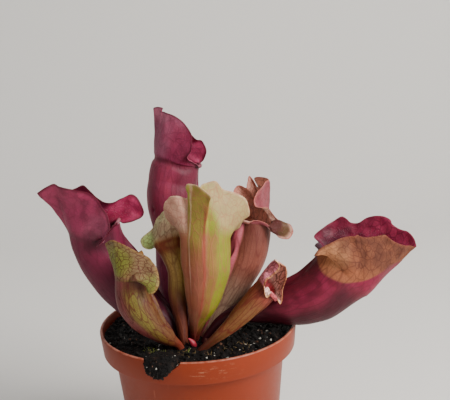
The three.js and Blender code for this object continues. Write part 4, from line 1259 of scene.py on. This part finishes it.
def crumb_tree():
    """Geometry nodes that scatter rough crumbs over a surface and seat them in it."""
    tree, given, out = group_tree(
        "crumbs", "GeometryNodeTree",
        [("Bed", "NodeSocketGeometry", None), ("Density", "NodeSocketFloat", 1.0e6),
         ("Smallest", "NodeSocketFloat", 0.0003), ("Largest", "NodeSocketFloat", 0.001),
         ("Flatness", "NodeSocketFloat", 0.8), ("Sink", "NodeSocketFloat", 0.0002),
         ("Seed", "NodeSocketInt", 1), ("Detail", "NodeSocketInt", 1),
         ("Material", "NodeSocketMaterial", None)],
        [("Geometry", "NodeSocketGeometry")],
    )
    points = strewn_points(tree, given["Bed"], given)
    size = add(tree, "FunctionNodeRandomValue", {2: 0.0, 3: 1.0, "Seed": given["Seed"]}, data_type="FLOAT")
    biased = maths(tree, "POWER", size.outputs[1], 2.2)
    width = maths(tree, "ADD", given["Smallest"], maths(
        tree, "MULTIPLY", biased, maths(tree, "SUBTRACT", given["Largest"], given["Smallest"])))
    squash = add(tree, "ShaderNodeCombineXYZ", [1.0, 1.0, given["Flatness"]]).outputs[0]
    spin = random_vector(tree, 0.0, 6.28, given["Seed"])
    crumb = add(tree, "GeometryNodeMeshIcoSphere", {"Radius": 1.0, "Subdivisions": given["Detail"]})
    dent = add(tree, "ShaderNodeTexNoise", {"Scale": 0.8, "Detail": 1.0})
    feed(tree, dent.inputs["Vector"], tree.nodes.new("GeometryNodeInputPosition").outputs[0])
    shift = vector_maths(tree, "SUBTRACT", dent.outputs["Color"], (0.5, 0.5, 0.5))
    crumb = add(tree, "GeometryNodeSetPosition", {
        "Geometry": crumb.outputs["Mesh"], "Offset": scaled(tree, shift, 1.4)})
    drop = add(tree, "ShaderNodeCombineXYZ", [0.0, 0.0, maths(tree, "MULTIPLY", given["Sink"], -1.0)])
    sunk = add(tree, "GeometryNodeSetPosition", {"Geometry": points["Points"], "Offset": drop.outputs[0]})
    placed = add(tree, "GeometryNodeInstanceOnPoints", {
        "Points": sunk.outputs[0], "Instance": crumb.outputs[0], "Rotation": spin,
        "Scale": scaled(tree, squash, width)})
    return close_tree(tree, placed.outputs[0], given, out)


def hair_tree():
    """Geometry nodes that grow short stiff hairs from a surface, leaning the way gravity pulls."""
    tree, given, out = group_tree(
        "hairs", "GeometryNodeTree",
        [("Skin", "NodeSocketGeometry", None), ("Density", "NodeSocketFloat", 1.0e6),
         ("Length", "NodeSocketFloat", 0.0012), ("Width", "NodeSocketFloat", 0.00006),
         ("Droop", "NodeSocketFloat", 0.8), ("Tangle", "NodeSocketFloat", 0.3),
         ("Seed", "NodeSocketInt", 1), ("Material", "NodeSocketMaterial", None)],
        [("Geometry", "NodeSocketGeometry")],
    )
    points = strewn_points(tree, given["Skin"], given)
    down = add(tree, "ShaderNodeCombineXYZ", [0.0, 0.0, maths(tree, "MULTIPLY", given["Droop"], -1.0)])
    stray = random_vector(tree, -1.0, 1.0, given["Seed"])
    lean = vector_maths(tree, "ADD", points["Normal"], down.outputs[0])
    lean = vector_maths(tree, "ADD", lean, scaled(tree, stray, given["Tangle"]))
    aim = add(tree, "FunctionNodeAlignRotationToVector", {"Vector": lean}, axis="Z")
    hair = add(tree, "GeometryNodeMeshCone", {
        "Vertices": 3, "Radius Top": 0.0, "Radius Bottom": given["Width"], "Depth": given["Length"]})
    placed = add(tree, "GeometryNodeInstanceOnPoints", {
        "Points": points["Points"], "Instance": hair.outputs["Mesh"], "Rotation": aim.outputs[0]})
    return close_tree(tree, placed.outputs[0], given, out)


def on_open_bed(points):
    """Which points lie on the bed's top, clear of the pot's wall."""
    return (points[:, 2] > BED_TOP_FROM) & (np.hypot(points[:, 0], points[:, 1]) < CRUMBS_WITHIN)


def on_spill_front(points):
    return points[:, 1] < SPILL_FRONT


def in_patches(points, patches):
    """Which points of the bed's top lie in one of these patches of x, y and radius."""
    inside = np.zeros(len(points), bool)
    for x, y, radius in patches:
        inside |= np.hypot(points[:, 0] - x, points[:, 1] - y) < radius
    return inside & (points[:, 2] > BED_TOP_FROM)


def strew(base, name, allowed, tree, values):
    """Scatters loose things over a part of the soil, where they are allowed to lie."""
    piece = new_object(name, base.data.copy())
    store(piece.data, "scatter", "FLOAT", allowed(points_of(piece.data)), "value")
    run_nodes(piece, tree, {**values, "Density": values["Density"] * PER_SQUARE_CM})
    if piece.data.polygons:
        finish_piece(piece, "peat")
    else:
        bpy.data.objects.remove(piece)


# ---- Rods ----
def rod_mesh(name, rows, sides=20, split=8):
    """A short smooth rod through rows of x, y, z and half width."""
    fine = through(rows, np.linspace(0, 1, split * (len(rows) - 1) + 1))
    along = unit(np.gradient(fine[:, :3], axis=0))
    across = unit(np.cross(along, (0.0, 1.0, 0.0)))
    other = np.cross(along, across)
    turn = 2 * np.pi * np.arange(sides) / sides
    ring = np.cos(turn)[None, :, None] * across[:, None] + np.sin(turn)[None, :, None] * other[:, None]
    points = fine[:, None, :3] + fine[:, None, 3:4] * ring
    return closed_mesh(name, points, fine[0, :3], fine[-1, :3])


# ---- Settings ----
class PitcherPotSettings(bpy.types.PropertyGroup):
    """The pot's finish."""

    colour: FloatVectorProperty(
        name="Colour", description="Colour of the pot's plastic", subtype="COLOR", size=3, min=0, max=1,
        default=linear("#802d11"))
    segments: IntProperty(
        name="Segments", description="Flat steps round the pot", default=192, min=48, max=384)


class PitcherLeafSettings(bpy.types.PropertyGroup):
    """How finely the leaves are drawn. Lengths are in millimetres."""

    columns: IntProperty(name="Columns", description="Columns round a leaf", default=240, min=40, max=600)
    tube_rows: IntProperty(name="Tube rows", description="Rows up a tube", default=100, min=20, max=300)
    hood_rows: IntProperty(name="Hood rows", description="Rows up a hood", default=44, min=10, max=120)
    normal_passes: IntProperty(
        name="Evening passes", description="How often the wall's directions are evened out", default=30,
        min=0, max=100)
    wall: FloatProperty(name="Wall", description="Thickness of a leaf's wall", default=0.6, min=0.2, max=2)
    lip_radius: FloatProperty(name="Lip radius", description="Size of the rolled lip", default=0.55,
                              min=0.2, max=3)
    lip_curl: FloatProperty(name="Lip curl", description="How far the lip rolls over, in degrees",
                            default=215, min=0, max=300)
    lip_fade: FloatProperty(name="Lip fade", description="Degrees over which the roll runs out",
                            default=12, min=1, max=60)
    keel_angle: FloatProperty(name="Keel width", description="Degrees of the tube that the keel takes",
                              default=5, min=1, max=30)
    wave_size: FloatProperty(name="Wave length", description="Length of the waves along a hood's edge",
                             default=6, min=1, max=30)
    wave_height: FloatProperty(name="Wave height", description="Height of the waves at a hood's edge",
                               default=1.1, min=0, max=5)
    lump_size: FloatProperty(name="Lump size", description="Size of the soft unevenness of a leaf",
                             default=11, min=1, max=40)
    lump_height: FloatProperty(name="Lump height", description="Depth of the soft unevenness",
                               default=0.5, min=0, max=3)
    hairs: FloatProperty(name="Hairs", description="Hairs to a square centimetre, inside the hoods",
                         default=60, min=0, max=400)
    hair_length: FloatProperty(name="Hair length", description="Length of a hair", default=0.8, min=0.2,
                               max=3)
    vein_width: FloatProperty(name="Vein width", description="Width of a vein, as a share of a cell",
                              default=0.11, min=0.01, max=0.5)


class PitcherSoilSettings(bpy.types.PropertyGroup):
    """The bed of soil. Lengths are in millimetres."""

    rings: IntProperty(name="Rings", description="Rings of points over the bed", default=80, min=10,
                       max=200)
    rings_around: IntProperty(name="Points around", description="Points in each ring", default=320, min=48,
                              max=640)
    roughness: FloatProperty(name="Roughness", description="Height of the bed's crumbs", default=1.5,
                             min=0, max=4)
    crumbs: FloatProperty(name="Crumbs", description="Loose crumbs to a square centimetre", default=36,
                          min=0, max=200)
    perlite: FloatProperty(name="Perlite", description="White grains to a square centimetre", default=2.2,
                           min=0, max=20)
    bark: FloatProperty(name="Bark", description="Bits of bark to a square centimetre", default=2.4,
                        min=0, max=20)


class PitcherStageSettings(bpy.types.PropertyGroup):
    """The light and the backdrop."""

    backdrop: FloatVectorProperty(
        name="Backdrop", description="Colour of the floor and the backdrop", subtype="COLOR", size=3,
        min=0, max=1, default=linear("#e9e6e1"))
    key_power: FloatProperty(name="Key light", description="Power of the large soft light", default=23,
                             min=0, max=200, unit="POWER")
    sky: FloatProperty(name="Sky", description="Strength of the even light all round", default=0.38,
                       min=0, max=10)


# ---- Camera ----
def camera_place():
    """The camera's matrix from its distance, elevation and roll."""
    tilt = math.radians(CAMERA_ELEVATION)
    roll = math.radians(CAMERA_ROLL)
    back = Vector((0, -math.cos(tilt), math.sin(tilt)))
    right = Vector((1, 0, 0))
    up = right.cross(-back)
    turned_right = math.cos(roll) * right + math.sin(roll) * up
    turned_up = -math.sin(roll) * right + math.cos(roll) * up
    place = (Vector(CAMERA_TARGET) + CAMERA_DISTANCE * back) * MM
    turn = Matrix((turned_right, turned_up, back)).transposed().to_4x4()
    return Matrix.Translation(place) @ turn


# ---- Operators ----
class PITCHER_OT_pot(bpy.types.Operator):
    """Turns the pot, and cuts its drain holes, its chip and a hairline crack"""

    bl_idname = "pitcher.pot"
    bl_label = "Nursery pot"

    def execute(self, context):
        profile = pot_profile()
        material = pot_material()
        pot = new_object("nursery_pot", new_mesh("nursery_pot", [(r, 0, z) for r, z in profile], []))
        run_nodes(pot, turned_tree(), {
            "Segments": context.scene.pitcher_pot.segments, "Points": len(profile), "Material": material})
        facing_out(pot.data)
        for i in range(DRAIN_HOLES):
            turn = 2 * math.pi * (i + 0.5) / DRAIN_HOLES + DRAIN_TURN
            x, y = DRAIN_CIRCLE * math.cos(turn), DRAIN_CIRCLE * math.sin(turn)
            drill = rod_mesh("drill", [(x, y, z, DRAIN_RADIUS) for z in DRILL_ENDS], 32, 1)
            cut(pot, new_object("drill", drill))
        cut(pot, prism("chip", rounded_chip(), *CHIP_DEPTH))
        cut(pot, prism("crack", crack_outline(), *CHIP_DEPTH))
        pot.data.materials.clear()
        pot.data.materials.append(material)
        pot.data.shade_smooth()
        pot.data.set_sharp_from_angle(angle=math.radians(40))
        finish_piece(pot, "terracotta_plastic", "pot")
        return {"FINISHED"}


class PITCHER_OT_soil(bpy.types.Operator):
    """Lays the bed of soil and the lump in the chip, with crumbs, perlite, bark, moss and fibres"""

    bl_idname = "pitcher.soil"
    bl_label = "Soil"

    def execute(self, context):
        settings = context.scene.pitcher_soil
        peat = soil_material()
        bed = new_object("soil_bed", soil_mesh(), peat)
        spill = new_object("soil_spill", spill_mesh(), peat)
        grain_spill(spill)
        loose = (
            ("soil_crumbs", peat, 0.3, 1.7, {
                "Density": settings.crumbs, "Flatness": 0.8, "Sink": 0.1 * MM, "Seed": 3, "Detail": 1}),
            ("soil_perlite", plain_material("perlite", "#b4aea4", 0.8), 0.25, 0.9, {
                "Density": settings.perlite, "Flatness": 0.85, "Sink": 0.15 * MM, "Seed": 8, "Detail": 2}),
            ("soil_bark", plain_material("bark_bits", "#5a3826", 0.8), 0.35, 1.4, {
                "Density": settings.bark, "Flatness": 0.35, "Sink": 0.1 * MM, "Seed": 5, "Detail": 1}),
        )
        tree = crumb_tree()
        for base, ending, shrink, allowed in (
            (bed, "", 1, on_open_bed), (spill, "_spill", SPILL_CRUMBS, on_spill_front),
        ):
            for name, material, smallest, largest, values in loose:
                strew(base, name + ending, allowed, tree, {
                    **values, "Smallest": smallest * MM, "Largest": shrink * largest * MM,
                    "Material": material})
        for name, colour, patches, values in (
            ("moss", "#7d8438", MOSS, {
                "Density": 90, "Length": 1.9 * MM, "Width": 0.13 * MM, "Droop": 0.3, "Tangle": 0.9}),
            ("fibres", "#8e7448", FIBRES, {
                "Density": 22, "Length": 3.0 * MM, "Width": 0.12 * MM, "Droop": 0.9, "Tangle": 1.6}),
        ):
            material = plain_material(name, colour, 0.8)
            strew(bed, "soil_" + name, lambda p: in_patches(p, patches), GROUPS["hairs"], {
                **values, "Seed": 5, "Material": material})
        finish_piece(bed, "peat", "soil")
        finish_piece(spill, "peat")
        return {"FINISHED"}


class PITCHER_OT_leaves(bpy.types.Operator):
    """Draws the eight pitchers and the hairs inside their hoods"""

    bl_idname = "pitcher.leaves"
    bl_label = "Pitchers"

    def execute(self, context):
        settings = context.scene.pitcher_leaves
        bristle = plain_material("hairs", "#8e626a", 0.6)
        for leaf in PITCHERS:
            mesh, hairy = leaf_mesh(leaf)
            piece = new_object(leaf["name"] + "_leaf", mesh, leaf_material(leaf))
            hairs = new_object(leaf["name"] + "_hairs", mesh.copy())
            store(hairs.data, "scatter", "FLOAT", hairy, "value")
            run_nodes(hairs, GROUPS["hairs"], {
                "Density": settings.hairs * PER_SQUARE_CM, "Length": settings.hair_length * MM,
                "Width": HAIR_WIDTH * MM, "Droop": 0.8, "Tangle": 0.3, "Seed": 4, "Material": bristle})
            finish_piece(hairs, leaf["slot"])
            finish_piece(piece, leaf["slot"], leaf["name"])
        return {"FINISHED"}


class PITCHER_OT_shoots(bpy.types.Operator):
    """Draws the new shoot and the dead stub, and dresses the rhizome"""

    bl_idname = "pitcher.shoots"
    bl_label = "Shoot, stub and rhizome"

    def execute(self, context):
        red = plain_material("shoot_skin", "#9c2436", 0.45)
        shoot = new_object("new_shoot", rod_mesh("new_shoot", SHOOT), red)
        finish_piece(shoot, "shoot_red", "shoot")
        dead = plain_material("dead_skin", "#5b2a22", 0.8, 0.8)
        stub = new_object("old_stub", rod_mesh("old_stub", STUB), dead)
        finish_piece(stub, "dead_stalk", "dead_stub")
        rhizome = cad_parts["rhizome"]
        rhizome.data.materials.clear()
        rhizome.data.materials.append(plain_material("rhizome_bark", "#5a3b26", 0.85, 0.9, 200.0))
        return {"FINISHED"}


class PITCHER_OT_stage(bpy.types.Operator):
    """Sets the pale backdrop, the soft light and the camera"""

    bl_idname = "pitcher.stage"
    bl_label = "Stage"

    def execute(self, context):
        settings = context.scene.pitcher_stage
        material, _, shader = new_material("backdrop")
        shader.inputs["Base Color"].default_value = rgba(settings.backdrop)
        shader.inputs["Roughness"].default_value = 0.95
        rows = [(y, 0) for y in FLOOR_ROWS]
        back = FLOOR_ROWS[-1]
        for tilt in np.linspace(0, math.pi / 2, 13):
            rows.append((back + BACKDROP_BEND * math.sin(tilt), BACKDROP_BEND * (1 - math.cos(tilt))))
        rows.append((back + BACKDROP_BEND, BACKDROP_HEIGHT))
        points = [(x, y, z) for y, z in rows for x in (-FLOOR_HALF_WIDTH, FLOOR_HALF_WIDTH)]
        faces = [(2 * i, 2 * i + 1, 2 * i + 3, 2 * i + 2) for i in range(len(rows) - 1)]
        new_object("backdrop", new_mesh("backdrop", points, faces), material)

        world = bpy.data.worlds.new("soft_sky")
        context.scene.world = world
        world.use_nodes = True
        sky = world.node_tree.nodes["Background"]
        sky.inputs["Color"].default_value = (0.95, 0.97, 1.0, 1.0)
        sky.inputs["Strength"].default_value = settings.sky
        for name, place, size, share, colour in LIGHTS:
            lamp = bpy.data.lights.new(name, "AREA")
            lamp.size = size
            lamp.energy = share * settings.key_power
            lamp.color = colour
            light = new_object(name, lamp)
            light.location = place
            toward = Vector(LIT_POINT) - light.location
            light.rotation_euler = toward.to_track_quat("-Z", "Y").to_euler()

        camera = new_object("camera", bpy.data.cameras.new("camera"))
        camera.data.sensor_width = SENSOR_WIDTH
        camera.data.lens = SENSOR_WIDTH * FOCAL_PIXELS / PHOTO_WIDTH
        camera.matrix_world = camera_place()
        context.scene.camera = camera
        return {"FINISHED"}


# ---- Panel and registration ----
class PITCHER_PT_panel(bpy.types.Panel):
    """Lists the pieces of the plant"""

    bl_idname = "PITCHER_PT_panel"
    bl_label = "Pitcher Plant"
    bl_space_type = "VIEW_3D"
    bl_region_type = "UI"
    bl_category = "Pitcher Plant"

    def draw(self, context):
        scene = context.scene
        for operator, settings in (
            (PITCHER_OT_pot, scene.pitcher_pot), (PITCHER_OT_soil, scene.pitcher_soil),
            (PITCHER_OT_leaves, scene.pitcher_leaves), (PITCHER_OT_shoots, None),
            (PITCHER_OT_stage, scene.pitcher_stage),
        ):
            box = self.layout.box()
            box.operator(operator.bl_idname)
            if settings:
                for key in settings.bl_rna.properties.keys():
                    if key not in ("rna_type", "name"):
                        box.prop(settings, key)


CLASSES = (
    PitcherPotSettings, PitcherLeafSettings, PitcherSoilSettings, PitcherStageSettings,
    PITCHER_OT_pot, PITCHER_OT_soil, PITCHER_OT_leaves, PITCHER_OT_shoots, PITCHER_OT_stage,
    PITCHER_PT_panel,
)
SETTINGS = {
    "pitcher_pot": PitcherPotSettings,
    "pitcher_leaves": PitcherLeafSettings,
    "pitcher_soil": PitcherSoilSettings,
    "pitcher_stage": PitcherStageSettings,
}


def register():
    for cls in CLASSES:
        bpy.utils.register_class(cls)
    for name, cls in SETTINGS.items():
        setattr(bpy.types.Scene, name, PointerProperty(type=cls))


def unregister():
    for name in SETTINGS:
        delattr(bpy.types.Scene, name)
    for cls in reversed(CLASSES):
        bpy.utils.unregister_class(cls)


def main():
    register()
    GROUPS["vein_net"] = vein_net()
    GROUPS["mottle"] = mottle()
    GROUPS["hairs"] = hair_tree()
    bpy.ops.pitcher.stage()
    bpy.ops.pitcher.pot()
    bpy.ops.pitcher.soil()
    bpy.ops.pitcher.leaves()
    bpy.ops.pitcher.shoots()


if __name__ == "__main__":
    main()
